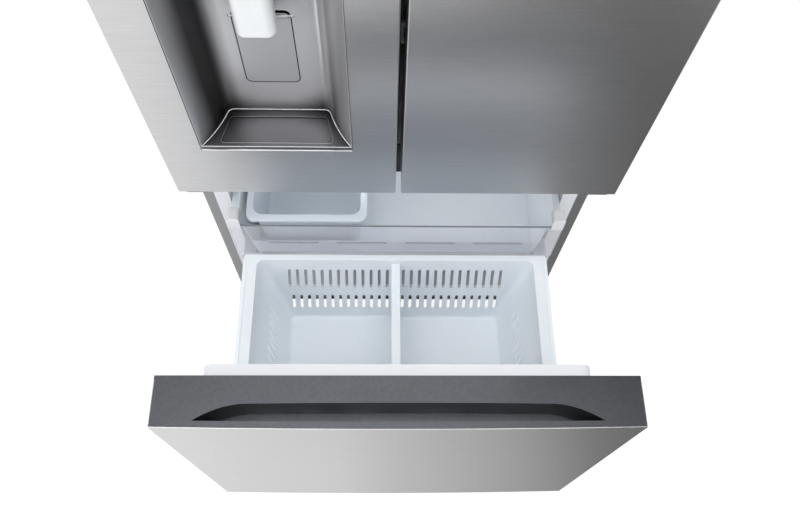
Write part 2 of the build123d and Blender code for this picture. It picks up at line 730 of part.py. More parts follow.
def make_roller(side):
    """Rear roller with a rounded tread, running on the frame's axle."""
    start = (side * CHANNEL_X - ROLLER_WIDTH / 2, REAR - ROLLER_FROM_BACK, ROLLER_RADIUS)
    wheel = rod(ROLLER_RADIUS, start, "X", ROLLER_WIDTH)
    wheel = fillet(wheel.edges().filter_by(GeomType.CIRCLE), ROLLER_ROUND)
    return wheel - rod(AXLE_RADIUS + RUN, start, "X", ROLLER_WIDTH)


def make_toe_grille():
    """Plinth below the drawer, with upright slots for the cooling air."""
    top = CASE_BOTTOM
    low = top - GRILLE_HEIGHT + GRILLE_OVERLAP
    plate = wide(HALF - GRILLE_INSET, (SEAL + SHEET - GRILLE_THICK, SEAL + SHEET), (low, top))
    pitch = (WIDTH - 2 * GRILLE_MARGIN) / GRILLE_SLOTS
    slot_y = (SEAL - GRILLE_THICK, SEAL + SHEET)
    cuts = Part()
    for index in range(GRILLE_SLOTS):
        x = (index - (GRILLE_SLOTS - 1) / 2) * pitch
        cuts += block((x - pitch / 4, x + pitch / 4), slot_y, drawn_in((low, top), GRILLE_RIM))
    return plate - cuts


# ---------------------------------------------------------------- machine room
def make_compressor():
    """Welded steel dome on a foot plate with four rubber mounts."""
    y = MACHINE_MIDDLE
    low = PLATE_TOP + COMPRESSOR_LIFT
    dome = rod(COMPRESSOR_RADIUS, (COMPRESSOR_X, y, low), "Z", COMPRESSOR_TALL)
    dome = fillet(dome.edges().filter_by(GeomType.CIRCLE), COMPRESSOR_ROUND)
    reach = COMPRESSOR_RADIUS + MOUNT_OUT
    plate_y = (y - COMPRESSOR_PLATE_HALF, y + COMPRESSOR_PLATE_HALF)
    plate_z = (low + SEAM_OUT - COMPRESSOR_PLATE, low + SEAM_OUT)
    foot = block((COMPRESSOR_X - reach, COMPRESSOR_X + reach), plate_y, plate_z)
    seam_at = (COMPRESSOR_X, y, low + COMPRESSOR_TALL / 2)
    body = dome + foot + rod(COMPRESSOR_RADIUS + SEAM_OUT, seam_at, "Z", SEAM_TALL)
    for dx in (-COMPRESSOR_RADIUS, COMPRESSOR_RADIUS):
        for dy in (-MOUNT_HALF, MOUNT_HALF):
            body += rod(MOUNT_RADIUS, (COMPRESSOR_X + dx, y + dy, PLATE_TOP), "Z", MOUNT_TALL)
    pipe_start = (COMPRESSOR_X - COMPRESSOR_RADIUS - PIPE_OUT, y, low + COMPRESSOR_TALL * PIPE_HEIGHT_SHARE)
    return body + rod(PIPE_RADIUS, pipe_start, "X", PIPE_OUT + COMPRESSOR_ROUND / 2)


def make_condenser_coil():
    """One tube folded back and forth, held by two end brackets that stand in the pan."""
    points = []
    for index in range(COIL_PASSES):
        z = COIL_BOTTOM + index * COIL_PITCH
        ends = (COIL_LEFT, COIL_RIGHT) if index % 2 == 0 else (COIL_RIGHT, COIL_LEFT)
        points.append((ends[0], FACE + MACHINE_MIDDLE, z))
        points.append((ends[1], FACE + MACHINE_MIDDLE, z))
    path = FilletPolyline(*points, radius=COIL_PITCH * COIL_BEND_SHARE)
    start = Plane(origin=path @ 0, z_dir=path % 0)
    tube = sweep(start * Circle(COIL_TUBE), path=path)
    heights = (PLATE_TOP + WALL + CLEAR, COIL_BOTTOM + (COIL_PASSES - 1) * COIL_PITCH + COIL_BRACKET_ABOVE)
    y = (MACHINE_MIDDLE - COIL_BRACKET_HALF, MACHINE_MIDDLE + COIL_BRACKET_HALF)
    for x in (COIL_LEFT + COIL_BRACKET_INSET, COIL_RIGHT - COIL_BRACKET_INSET):
        tube += block((x - COIL_BRACKET_THICK / 2, x + COIL_BRACKET_THICK / 2), y, heights)
    return tube


def make_drain_pan():
    """Open tray under the coil, where the melt water dries off."""
    x = (COIL_LEFT - PAN_LEFT, COIL_RIGHT + PAN_RIGHT)
    y = drawn_in((MACHINE_FRONT, REAR), PAN_INSET)
    pan = block(x, y, (PLATE_TOP, PLATE_TOP + PAN_TALL))
    return pan - block(drawn_in(x, WALL), drawn_in(y, WALL), (PLATE_TOP + WALL, PLATE_TOP + PAN_TALL))


def blades(radius, hub, count, pitch_angle):
    """Fan blades about the Z axis through the origin, set at an angle on a hub."""
    hub_radius, thick = hub
    wheel = Cylinder(hub_radius, thick)
    reach = radius - hub_radius + BLADE_THICK
    middle = hub_radius - BLADE_THICK + reach / 2
    blade = Pos(middle, 0, 0) * (Rot(pitch_angle, 0, 0) * Box(reach, radius / 2, BLADE_THICK))
    for index in range(count):
        wheel += Rot(0, 0, index * 360 / count) * blade
    return wheel & Cylinder(radius, thick * 4)


def make_condenser_fan():
    """Axial fan on a short shaft."""
    wheel = blades(CONDENSER_FAN_RADIUS, CONDENSER_HUB, FAN_BLADES, CONDENSER_BLADE_ANGLE)
    wheel += Pos(0, 0, CONDENSER_SHAFT_OUT) * Cylinder(AXLE_RADIUS, CONDENSER_SHAFT)
    place = Pos(CONDENSER_FAN_X, FACE + MACHINE_MIDDLE, MACHINE_MIDDLE_Z)
    return place * (Rot(0, 90, 0) * wheel)


def make_fan_shroud():
    """Plate with a round hole for the fan and a bridge that carries its motor."""
    y = MACHINE_MIDDLE
    z = MACHINE_MIDDLE_Z
    x = (CONDENSER_FAN_X - SHROUD_THICK / 2, CONDENSER_FAN_X + SHROUD_THICK / 2)
    plate_y = (MACHINE_FRONT + SHROUD_CLEAR, BACK - SHROUD_CLEAR)
    plate = block(x, plate_y, (PLATE_TOP, MACHINE_TOP - SHROUD_CLEAR))
    hole_radius = CONDENSER_FAN_RADIUS + SHROUD_HOLE_CLEAR
    plate -= rod(hole_radius, (x[0], y, z), "X", SHROUD_THICK)
    reach = hole_radius + BRIDGE_REACH
    bridge_x = (x[1] + BRIDGE_GAP, x[1] + BRIDGE_GAP + BRIDGE_THICK)
    bridge_z = (z - BRIDGE_HALF, z + BRIDGE_HALF)
    bridge = block(bridge_x, (y - reach, y + reach), bridge_z)
    for edge in (y - reach, y + reach - BRIDGE_FOOT):
        bridge += block((x[1], bridge_x[1]), (edge, edge + BRIDGE_FOOT), bridge_z)
    bridge += rod(MOTOR_RADIUS, (bridge_x[0], y, z), "X", MOTOR_LONG)
    shaft_room = rod(AXLE_RADIUS + RUN, (bridge_x[0], y, z), "X", MOTOR_BORE)
    return plate + bridge - shaft_room


# ---------------------------------------------------------------- cold side and ice maker
def make_evaporator_cover():
    """Moulded cover over the evaporator, with air slots and a boss for the fan motor."""
    y = (CAVITY_BACK - COVER_DEEP, CAVITY_BACK)
    heights = (STEP_Z + COVER_PLAY, FREEZER_TOP - COVER_PLAY)
    cover = wide(COVER_HALF, y, heights)
    cover -= wide(COVER_HALF - WALL, (y[0] + WALL, y[1]), drawn_in(heights, WALL))
    wall_y = (y[0], y[0] + WALL)
    half = COVER_SLOT_LONG / 2
    low, high = drawn_in(heights, COVER_SLOT_INSET)
    for index in range(COVER_SLOTS):
        x = (index - (COVER_SLOTS - 1) / 2) * COVER_SLOT_PITCH
        cover -= block((x - half, x + half), wall_y, (low, low + COVER_SLOT_TALL))
        cover -= block((x - half, x + half), wall_y, (high - COVER_SLOT_TALL, high))
    boss = rod(COVER_BOSS_RADIUS, (0, y[0] + WALL / 2, EVAPORATOR_FAN_Z), "Y", COVER_BOSS_LONG)
    bore = rod(AXLE_RADIUS + RUN, (0, y[0] + WALL, EVAPORATOR_FAN_Z), "Y", COVER_BOSS_LONG)
    return cover + boss - bore


def make_evaporator():
    """Two tubes through a stack of thin fins."""
    y = (CAVITY_BACK - EVAPORATOR_DEEP, CAVITY_BACK)
    low = STEP_Z + EVAPORATOR_ABOVE
    heights = (low, low + EVAPORATOR_TALL)
    half_fin = EVAPORATOR_FIN_THICK / 2
    stack = Part()
    for index in range(EVAPORATOR_FINS):
        x = (index / (EVAPORATOR_FINS - 1) * 2 - 1) * EVAPORATOR_HALF
        stack += block((x - half_fin, x + half_fin), y, heights)
    reach = EVAPORATOR_HALF + EVAPORATOR_TUBE_OUT
    for z in drawn_in(heights, EVAPORATOR_TUBE_INSET):
        stack += rod(EVAPORATOR_TUBE, (-reach, (y[0] + y[1]) / 2, z), "X", 2 * reach)
    return stack


def make_evaporator_fan():
    """Fan that draws air over the evaporator, on a shaft in the cover's boss."""
    y = FACE + CAVITY_BACK - COVER_DEEP + EVAPORATOR_FAN_BEHIND
    wheel = blades(EVAPORATOR_FAN_RADIUS, EVAPORATOR_HUB, FAN_BLADES, EVAPORATOR_BLADE_ANGLE)
    wheel += Pos(0, 0, EVAPORATOR_SHAFT_OUT) * Cylinder(AXLE_RADIUS, EVAPORATOR_SHAFT)
    return Pos(0, y, EVAPORATOR_FAN_Z) * (Rot(90, 0, 0) * wheel)


def make_ice_maker():
    """Ice mould with its gearbox and a row of ejector fingers, hung from the ceiling."""
    low = FREEZER_TOP - ICE_MAKER_TALL
    y = (ICE_MAKER_FRONT, ICE_MAKER_FRONT + ICE_MAKER_LONG)
    left = BIN_LEFT + ICE_GEARBOX_INSET
    mould_left = left + ICE_GEARBOX_WIDE
    mould_x = (mould_left, BIN_RIGHT - ICE_MOULD_INSET)
    mould_y = (y[0] + ICE_MOULD_FRONT, y[1] - ICE_MOULD_BACK)
    axis = low + ICE_MOULD_TALL
    middle = (mould_y[0] + mould_y[1]) / 2
    body = block((left, mould_left), y, (low, FREEZER_TOP))
    groove_x = drawn_in(mould_x, ICE_GROOVE_WALL)
    groove = rod(ICE_GROOVE_RADIUS, (groove_x[0], middle, axis), "X", groove_x[1] - groove_x[0])
    body += block(mould_x, mould_y, (low, axis)) - groove
    body += rod(ICE_SHAFT_RADIUS, (mould_left, middle, axis), "X", mould_x[1] - mould_left)
    for index in range(ICE_FINGERS):
        x = mould_left + ICE_FINGER_FIRST + index * ICE_FINGER_PITCH
        finger_x = (x - ICE_FINGER_THICK / 2, x + ICE_FINGER_THICK / 2)
        body += block(finger_x, (middle, middle + ICE_FINGER_LONG), (axis - 1, axis + ICE_FINGER_THICK))
    hanger_y = (mould_y[1] - ICE_HANGER_LAP, mould_y[1] - ICE_HANGER_LAP + ICE_HANGER_THICK)
    return body + block(mould_x, hanger_y, (low, FREEZER_TOP))


# ---------------------------------------------------------------- fresh food fittings
def shelf_outline(side):
    """Limits of one half shelf, at the left or at the right."""
    limits = (SHELF_MIDDLE, CAVITY - SHELF_PLAY)
    return limits if side > 0 else (-limits[1], -limits[0])


def make_shelf_frames():
    """Four plastic shelf frames, which lie on the liner's ledges and meet its back."""
    frames = Part()
    for level in SHELF_LEVELS:
        for side in (-1, 1):
            x = shelf_outline(side)
            frame = block(x, (SHELF_FRONT, CAVITY_BACK), (level, level + SHELF_TALL))
            inner_x = (x[0] + SHELF_FRAME, x[1] - SHELF_FRAME)
            inner_y = (SHELF_FRONT + SHELF_FRAME, CAVITY_BACK - SHELF_FRAME)
            frame -= block(inner_x, inner_y, (level, level + SHELF_TALL))
            frame -= glass_pane(x, level, CLEAR)
            frames += frame
    return frames


def glass_pane(x, level, grow):
    """A pane that lies in a rebate at the top of its frame."""
    edge = SHELF_FRAME / 2 - grow
    pane_x = (x[0] + edge, x[1] - edge)
    pane_y = (SHELF_FRONT + edge, CAVITY_BACK - edge)
    return block(pane_x, pane_y, (level + SHELF_TALL - GLASS, level + SHELF_TALL))


def make_shelf_glass():
    """Panes of the four half shelves and of the lid over the crispers."""
    panes = Part()
    for level in SHELF_LEVELS:
        for side in (-1, 1):
            panes += glass_pane(shelf_outline(side), level, 0)
    return panes + glass_pane(drawn_in((-CAVITY, CAVITY), SHELF_PLAY), CRISPER_LID_Z, 0)


def crisper_limits(side):
    """Limits of one crisper, rim and all."""
    limits = (CRISPER_MIDDLE, HALF - CRISPER_SIDE)
    return limits if side > 0 else (-limits[1], -limits[0])


def make_crisper_frame():
    """Lid frame over the crispers, with the ledges that carry their rims."""
    half = CAVITY - SHELF_PLAY
    level = CRISPER_LID_Z
    frame = wide(half, (SHELF_FRONT, CAVITY_BACK), (level, level + SHELF_TALL))
    inner_y = (SHELF_FRONT + SHELF_FRAME, CAVITY_BACK - SHELF_FRAME)
    frame -= wide(half - SHELF_FRAME, inner_y, (level, level + SHELF_TALL))
    frame -= glass_pane((-half, half), level, CLEAR)
    outer = HALF - CRISPER_SIDE
    run = (SHELF_FRONT, SHELF_FRONT + CRISPER_LONG)
    rim_low = CRISPER_TOP - CRISPER_RIM_TALL - CLEAR
    ledge_z = (rim_low - CRISPER_LEDGE_TALL, rim_low)
    web_z = (rim_low, level)
    ledge = block((outer - CRISPER_RIM + CRISPER_LEDGE_PLAY, CAVITY), run, ledge_z)
    web = block((outer + CLEAR + CRISPER_LEDGE_PLAY, CAVITY), run, web_z)
    wall_half = CRISPER_MIDDLE - CLEAR - CRISPER_LEDGE_PLAY
    middle = wide(CRISPER_MIDDLE + CRISPER_RIM - CRISPER_LEDGE_PLAY, run, ledge_z)
    middle += wide(wall_half, run, web_z)
    bar_z = (level, level + SHELF_TALL - GLASS - CLEAR)
    middle += wide(wall_half, (SHELF_FRONT, CAVITY_BACK), bar_z)
    return frame + both(ledge + web) + middle


def make_crisper(side):
    """Clear drawer with a rim that hangs on the lid frame's ledges."""
    x = crisper_limits(side)
    body_x = drawn_in(x, CRISPER_RIM)
    z = (CRISPER_LOW, CRISPER_TOP)
    y = (CRISPER_FRONT, CRISPER_FRONT + CRISPER_LONG)
    body_y = (y[0] + CRISPER_FRONT_GAP, y[1])
    sizes = (z, body_x, body_x, body_y, body_y, CRISPER_CORNER, CRISPER_FOOT)
    rim = block(x, (y[0] + CRISPER_RIM_START, y[1]), (z[1] - CRISPER_RIM_TALL, z[1]))
    front = block(x, (y[0], y[0] + CRISPER_FRONT_THICK), (z[0] + CRISPER_FRONT_ABOVE, z[1]))
    front = fillet(front.edges().filter_by(Axis.Y), CRISPER_FRONT_ROUND)
    return tub(*sizes) + rim + front - tub_hollow(*sizes)


def make_ceiling_lamp():
    """Diffuser of the ceiling light."""
    front = SHELF_FRONT + LAMP_BEHIND
    lamp = wide(LAMP_HALF, (front, front + LAMP_DEEP), (FRESH_TOP - LAMP_TALL, FRESH_TOP))
    return fillet(lamp.edges().filter_by(Axis.Z), LAMP_ROUND)


# ---------------------------------------------------------------- hinges
def make_top_hinges():
    """Steel plates on the cabinet top, each with a pin down into its door."""
    x = (PIN_X - HINGE_INNER, PIN_X + HINGE_OUTER)
    y = (PIN_BEHIND - HINGE_FRONT, SEAL + HINGE_LONG)
    top = CASE_TOP + HINGE_PLATE
    pin_low = DOOR_TOP - DOOR_CAP + HINGE_PIN_END
    pin = rod(PIN_RADIUS, (PIN_X, PIN_BEHIND, pin_low), "Z", top - pin_low)
    return both(block(x, y, (CASE_TOP, top)) + pin)


def make_hinge_covers():
    """Moulded covers over the top hinges."""
    x = (PIN_X - COVER_INNER, PIN_X + COVER_OUTER)
    y = (PIN_BEHIND - COVER_FRONT, SEAL + COVER_LONG)
    low = CASE_TOP + HINGE_PLATE
    cover = block(x, y, (low, low + HINGE_COVER_TALL))
    cover = fillet(cover.edges().filter_by(Axis.Z), COVER_ROUND)
    hollow = block(drawn_in(x, WALL), drawn_in(y, WALL), (low, low + HINGE_COVER_TALL - WALL))
    tab_x = (x[0] + COVER_TAB_INSET, x[0] + COVER_TAB_INSET + COVER_TAB)
    tab_y = (y[1] - COVER_TAB_INSET - COVER_TAB_THICK, y[1] - COVER_TAB_INSET)
    return both(cover - hollow + block(tab_x, tab_y, (CASE_TOP, low)))


def make_centre_hinges():
    """Plates between drawer and door, with a pin up into the door and a collar under it."""
    top = (DRAWER_TOP + DOOR_BOTTOM) / 2 + CENTRE_HINGE_ABOVE
    x = (PIN_X - HINGE_INNER, PIN_X + CENTRE_HINGE_OUTER)
    plate = block(x, (PIN_BEHIND - CENTRE_HINGE_FRONT, SEAL), (top - HINGE_PLATE, top))
    flange_z = (DRAWER_TOP - CENTRE_FLANGE_DOWN, DOOR_BOTTOM + CENTRE_FLANGE_UP)
    flange = block(x, (SEAL - HINGE_PLATE, SEAL), flange_z)
    start = (PIN_X, PIN_BEHIND, top - CENTRE_PIN_SUNK)
    pin = rod(PIN_RADIUS, start, "Z", DOOR_BOTTOM + DOOR_CAP - HINGE_PIN_END - start[2])
    collar = rod(PIN_RADIUS + COLLAR_WALL, start, "Z", DOOR_BOTTOM - CLEAR - start[2])
    return both(plate + flange + pin + collar)


# ---------------------------------------------------------------- doors
def door_limits(side, inset):
    """Left and right limits of a door, drawn in by an inset."""
    limits = (DOOR_GAP / 2 + inset, HALF - inset)
    return limits if side > 0 else (-limits[1], -limits[0])


def recess_opening():
    """Upright opening in the left door's front for the dispenser."""
    return block((RECESS_LEFT, RECESS_RIGHT), (0, SKIN), (RECESS_SILL, HOUSING_TOP))


def make_door_skin(side):
    """Folded steel front with returned sides, open at the back."""
    heights = (DOOR_BOTTOM, DOOR_TOP)
    outside = block(door_limits(side, 0), (0, SKIN_DEEP), heights)
    outside = fillet(outside.edges().filter_by(Axis.Z).sort_by(Axis.Y)[:2], DOOR_ROUND)
    skin = outside - block(door_limits(side, SKIN), (SKIN, SKIN_DEEP), heights)
    if side < 0:
        skin -= recess_opening()
    return skin


def make_door_caps(side):
    """Plastic caps that close the door's two ends, bored for the hinge pins."""
    x = door_limits(side, SKIN)
    y = (SKIN, SKIN_DEEP)
    bottom = block(x, y, (DOOR_BOTTOM, DOOR_BOTTOM + DOOR_CAP))
    top = block(x, y, (DOOR_TOP - DOOR_CAP, DOOR_TOP))
    bore = (side * PIN_X, PIN_BEHIND)
    bottom -= rod(PIN_RADIUS + RUN, (*bore, DOOR_BOTTOM), "Z", DOOR_CAP - DOOR_CAP_FLOOR)
    top -= rod(PIN_RADIUS + RUN, (*bore, DOOR_TOP - DOOR_CAP + DOOR_CAP_FLOOR), "Z", DOOR_CAP)
    return bottom + top


def dyke_rib(side, outer, low):
    """Upright rib on the door liner, which holds the ends of the bins."""
    start = HALF - DYKE_OUTER - DYKE_WIDE if outer else DYKE_INNER
    x = (start, start + DYKE_WIDE)
    x = x if side > 0 else (-x[1], -x[0])
    return block(x, (DOOR_THICK, DOOR_THICK + DYKE_DEEP), (low, DYKE_TOP))


def make_door_liner(side):
    """Foam-filled inner panel of a door, with the ribs for its bins."""
    inner_z = (DOOR_BOTTOM + DOOR_CAP, DOOR_TOP - DOOR_CAP)
    panel = block(door_limits(side, SKIN), (SKIN, SKIN_DEEP), inner_z)
    panel += block(door_limits(side, 0), (SKIN_DEEP, DOOR_THICK), (DOOR_BOTTOM, DOOR_TOP))
    bins = LEFT_BINS if side < 0 else RIGHT_BINS
    rib_low = bins[0] - DYKE_BELOW_BIN
    if side < 0:
        bulge_x = (-HALF + DYKE_OUTER, -DYKE_INNER)
        bulge_z = (DOOR_BOTTOM + BULGE_ABOVE, HOUSING_TOP + LEFT_BIN_ABOVE)
        panel += block(bulge_x, (DOOR_THICK, DOOR_THICK + BULGE), bulge_z)
        panel -= housing_body()
        panel += flap_lugs()
    return panel + dyke_rib(side, True, rib_low) + dyke_rib(side, False, rib_low)


def make_door_gasket(side):
    """Folded magnetic seal round the door's back."""
    gap_edge = DOOR_GAP / 2 + GASKET_FROM_GAP
    hinge_edge = HALF - GASKET_INSET
    x = (gap_edge, hinge_edge) if side > 0 else (-hinge_edge, -gap_edge)
    y = (DOOR_THICK, SEAL - CLEAR)
    z = drawn_in((DOOR_BOTTOM, DOOR_TOP), GASKET_FROM_END)
    return block(x, y, z) - block(drawn_in(x, GASKET_WIDTH), y, drawn_in(z, GASKET_WIDTH))


def make_door_bins(side):
    """Clear bins between the door's two ribs."""
    start = DYKE_INNER + DYKE_WIDE
    end = HALF - DYKE_OUTER - DYKE_WIDE
    x = (start, end) if side > 0 else (-end, -start)
    y = (DOOR_THICK, DOOR_THICK + BIN_DEEP)
    bins = Part()
    for low in (LEFT_BINS if side < 0 else RIGHT_BINS):
        outside = block(x, y, (low, low + BIN_TALL))
        outside = fillet(outside.edges().filter_by(Axis.Z).sort_by(Axis.Y)[-2:], DOOR_BIN_ROUND)
        hollow = block(drawn_in(x, WALL), drawn_in(y, WALL), (low + WALL, low + BIN_TALL))
        hollow = fillet(hollow.edges().filter_by(Axis.Z).sort_by(Axis.Y)[-2:], DOOR_BIN_ROUND - WALL)
        bins += outside - hollow
    return bins


# ---------------------------------------------------------------- dispenser
def recess_plan(inset, depth):
    """The recess seen from above: wide at the front, its sides curving in to a rounded back."""
    half = (RECESS_RIGHT - RECESS_LEFT) / 2 - inset
    back_half = half - RECESS_BACK_INSET
    bend_half = half - RECESS_BACK_INSET * RECESS_BEND_ACROSS
    back = FACE + depth
    bend = FACE + depth * RECESS_BEND_DEEP
    edges = Line((-half, FACE - 1), (half, FACE - 1)).edges()
    edges += Line((-back_half, back), (back_half, back)).edges()
    for side in (-1, 1):
        edges += Line((side * half, FACE - 1), (side * half, FACE)).edges()
        arc = ThreePointArc((side * half, FACE), (side * bend_half, bend), (side * back_half, back))
        edges += arc.edges()
    plan = make_face(edges)
    plan = fillet(plan.vertices().sort_by(Axis.Y)[-2:], RECESS_ROUND - inset)
    return Pos(RECESS_MID, 0, 0) * plan


def housing_body():
    """Outer form of the dispenser housing, with the deeper pocket behind its paddle."""
    x = (RECESS_LEFT - HOUSING_BORDER, RECESS_RIGHT + HOUSING_BORDER)
    z = (RECESS_SILL - HOUSING_BELOW_SILL, HOUSING_TOP + HOUSING_ABOVE)
    return block(x, (SKIN, HOUSING_DEEP), z) + paddle_pocket(POCKET_WALL)


def paddle_pocket(grow):
    """Room behind the back wall for the paddle's swing, rounded as the paddle is."""
    reach = PADDLE_GAP + grow
    half = PADDLE_WIDE / 2 + reach
    swing = PADDLE_TALL * math.sin(math.radians(PADDLE_SWING))
    depth = RECESS_DEEP + PADDLE_THICK + swing + (HOUSING_WALL if grow else 0)
    x = (RECESS_MID - half, RECESS_MID + half)
    z = (PADDLE_BOTTOM - reach, PADDLE_BOTTOM + PADDLE_TALL + PADDLE_HEADROOM + grow)
    room = block(x, (RECESS_DEEP - 1, depth), z)
    return fillet(room.edges().filter_by(Axis.Y), PADDLE_ROUND + reach)


def make_housing():
    """One moulding: border in the door's opening, curved recess, panel seat and pocket."""
    x = drawn_in((RECESS_LEFT, RECESS_RIGHT), CLEAR)
    collar = block(x, (0, SKIN + 1), drawn_in((RECESS_SILL, HOUSING_TOP), CLEAR))
    body = housing_body() + collar
    body -= prism(recess_plan(RECESS_EDGE, RECESS_DEEP), RECESS_SILL + RECESS_FLOOR, RECESS_TOP)
    body -= paddle_pocket(0)
    body -= panel_block(CLEAR)
    long = PADDLE_WIDE + 2 * PADDLE_PIN_OUT + 2
    pin = (RECESS_MID - long / 2, RECESS_DEEP + PADDLE_THICK / 2, PADDLE_PIN_Z)
    return body - rod(FLAP_PIN + RUN, pin, "X", long)


def panel_block(grow):
    """Blank front panel above the recess, or its seat where it is grown."""
    x = drawn_in((RECESS_LEFT, RECESS_RIGHT), PANEL_INSET - grow)
    z = drawn_in((RECESS_TOP, HOUSING_TOP), PANEL_MARGIN - grow)
    return block(x, (-1 if grow else 0, PANEL_THICK + grow), z)


def make_panel():
    """Black panel, backed by a thin layer that fills its seat."""
    x = drawn_in((RECESS_LEFT, RECESS_RIGHT), PANEL_INSET)
    z = drawn_in((RECESS_TOP, HOUSING_TOP), PANEL_MARGIN)
    return panel_block(0) + block(x, (PANEL_THICK, PANEL_THICK + CLEAR), z)


def make_drip_tray():
    """Tray with a shallow dish, which slides forward out of the recess."""
    low = RECESS_SILL + RECESS_FLOOR + CLEAR
    top = low + TRAY_THICK
    tray = prism(recess_plan(RECESS_EDGE + CLEAR, RECESS_DEEP - 1), low, top)
    tray -= block((RECESS_LEFT, RECESS_RIGHT), (-2, TRAY_FRONT_INSET), (low, top))
    front, back = (FACE + depth for depth in DISH_BEHIND)
    corners = [(-DISH_HALF[0], front), (DISH_HALF[0], front), (DISH_HALF[1], back), (-DISH_HALF[1], back)]
    dish = Polygon(*corners, align=None)
    dish = Pos(RECESS_MID, 0, 0) * fillet(dish.vertices(), DISH_ROUND)
    return tray - prism(dish, top - DISH_SUNK, top)


def make_paddle():
    """Push pad flush with the recess wall, hung on two pins at its top."""
    x = (RECESS_MID - PADDLE_WIDE / 2, RECESS_MID + PADDLE_WIDE / 2)
    y = (RECESS_DEEP, RECESS_DEEP + PADDLE_THICK)
    pad = block(x, y, (PADDLE_BOTTOM, PADDLE_BOTTOM + PADDLE_TALL))
    pad = fillet(pad.edges().filter_by(Axis.Y), PADDLE_ROUND)
    pin_y = RECESS_DEEP + PADDLE_THICK / 2
    barrel_x = drawn_in(x, FLAP_PIN + PADDLE_BARREL_WALL)
    barrel_start = (barrel_x[0], pin_y, PADDLE_PIN_Z)
    barrel = rod(FLAP_PIN + PADDLE_BARREL_WALL, barrel_start, "X", barrel_x[1] - barrel_x[0])
    pin_start = (x[0] - PADDLE_PIN_OUT, pin_y, PADDLE_PIN_Z)
    return pad + barrel + rod(FLAP_PIN, pin_start, "X", PADDLE_WIDE + 2 * PADDLE_PIN_OUT)


def make_nozzle():
    """Flat spout with rounded corners, which hangs from the recess ceiling."""
    heights = (NOZZLE_BOTTOM, RECESS_TOP)
    x = (RECESS_MID - NOZZLE_WIDE / 2, RECESS_MID + NOZZLE_WIDE / 2)
    y = (NOZZLE_BEHIND - NOZZLE_DEEP / 2, NOZZLE_BEHIND + NOZZLE_DEEP / 2)
    spout = block(x, y, heights)
    spout = fillet(spout.edges().filter_by(Axis.Z), NOZZLE_CORNER)
    spout = fillet(spout.faces().sort_by(Axis.Z)[0].edges(), NOZZLE_TIP)
    return spout - rod(NOZZLE_BORE, (RECESS_MID, NOZZLE_BEHIND, NOZZLE_BOTTOM), "Z", NOZZLE_BORE_LONG)


# ---------------------------------------------------------------- centre flap
def flap_heights():
    """Limits of the flap's bar, between its two lugs."""
    room = LUG_TALL + LUG_GAP
    return (FRESH_FLOOR + FLAP_ABOVE_FLOOR + room, FRESH_TOP - FLAP_BELOW_TOP - room)


def flap_lugs():
    """Two ears on the left door's liner that hold the flap's pins."""
    x = (FLAP_AXIS_X - LUG_HALF, FLAP_AXIS_X + LUG_HALF)
    y = (DOOR_THICK, FLAP_AXIS_BEHIND + LUG_BEHIND)
    low, high = flap_heights()
    lugs = Part()
    for z in (low - LUG_GAP - LUG_TALL, high + LUG_GAP):
        lugs += block(x, y, (z, z + LUG_TALL))
        lugs -= rod(FLAP_PIN + RUN, (FLAP_AXIS_X, FLAP_AXIS_BEHIND, z), "Z", LUG_TALL)
    return lugs


def make_centre_flap():
    """Upright bar that closes the gap between the doors and folds in when the door opens."""
    low, high = flap_heights()
    x = (FLAP_EDGE - FLAP_WIDE, FLAP_EDGE)
    bar = block(x, (FLAP_FRONT, FLAP_FRONT + FLAP_THICK), (low, high))
    bar = fillet(bar.edges().filter_by(Axis.Z), FLAP_ROUND)
    pin = rod(FLAP_PIN, (FLAP_AXIS_X, FLAP_AXIS_BEHIND, low - LUG_TALL), "Z", high - low + 2 * LUG_TALL)
    return bar + pin


# ---------------------------------------------------------------- freezer drawer front
def grip_plan(grow):
    """Pocket grip seen from above: long, with both ends swept forward to a tip."""
    front = FACE + GRIP_FRONT - grow
    back = FACE + GRIP_BACK + grow
    tip = (GRIP_TIP + grow, FACE + GRIP_FRONT + GRIP_TIP_BEHIND)
    shoulder = (GRIP_SHOULDER + grow, back - GRIP_SHOULDER_AHEAD)
    sweep_mid = ((tip[0] + shoulder[0]) / 2 + GRIP_SWEEP[0], (tip[1] + shoulder[1]) / 2 + GRIP_SWEEP[1])
    left = [(-x, y) for x, y in (tip, shoulder, sweep_mid)]
    edges = ThreePointArc(left[0], (0, front), tip).edges()
    edges += ThreePointArc(tip, sweep_mid, shoulder).edges()
    edges += ThreePointArc(shoulder, (0, back), left[1]).edges()
    edges += ThreePointArc(left[1], left[2], left[0]).edges()
    return make_face(edges)


def make_drawer_skin():
    """Bowed steel front with returned sides."""
    heights = (DRAWER_BOTTOM, DRAWER_TOP)
    outside = prism(bow_face(0, SKIN_DEEP), *heights)
    inside = prism(bow_face(SKIN, DOOR_THICK), *heights)
    return opened(outside - inside)


def make_drawer_cap():
    """Dark top cap of the drawer front, moulded in one with its pocket grip."""
    low = DRAWER_TOP - CAP_TALL
    cap = prism(bow_face(SKIN, SKIN_DEEP), low, DRAWER_TOP)
    cap += wide(HALF, (SKIN_DEEP, DOOR_THICK), (low, DRAWER_TOP))
    floor = DRAWER_TOP - GRIP_DEEP
    cap += prism(grip_plan(GRIP_WALL), floor - GRIP_WALL, low)
    cap -= prism(grip_plan(0), floor, DRAWER_TOP)
    return opened(cap)


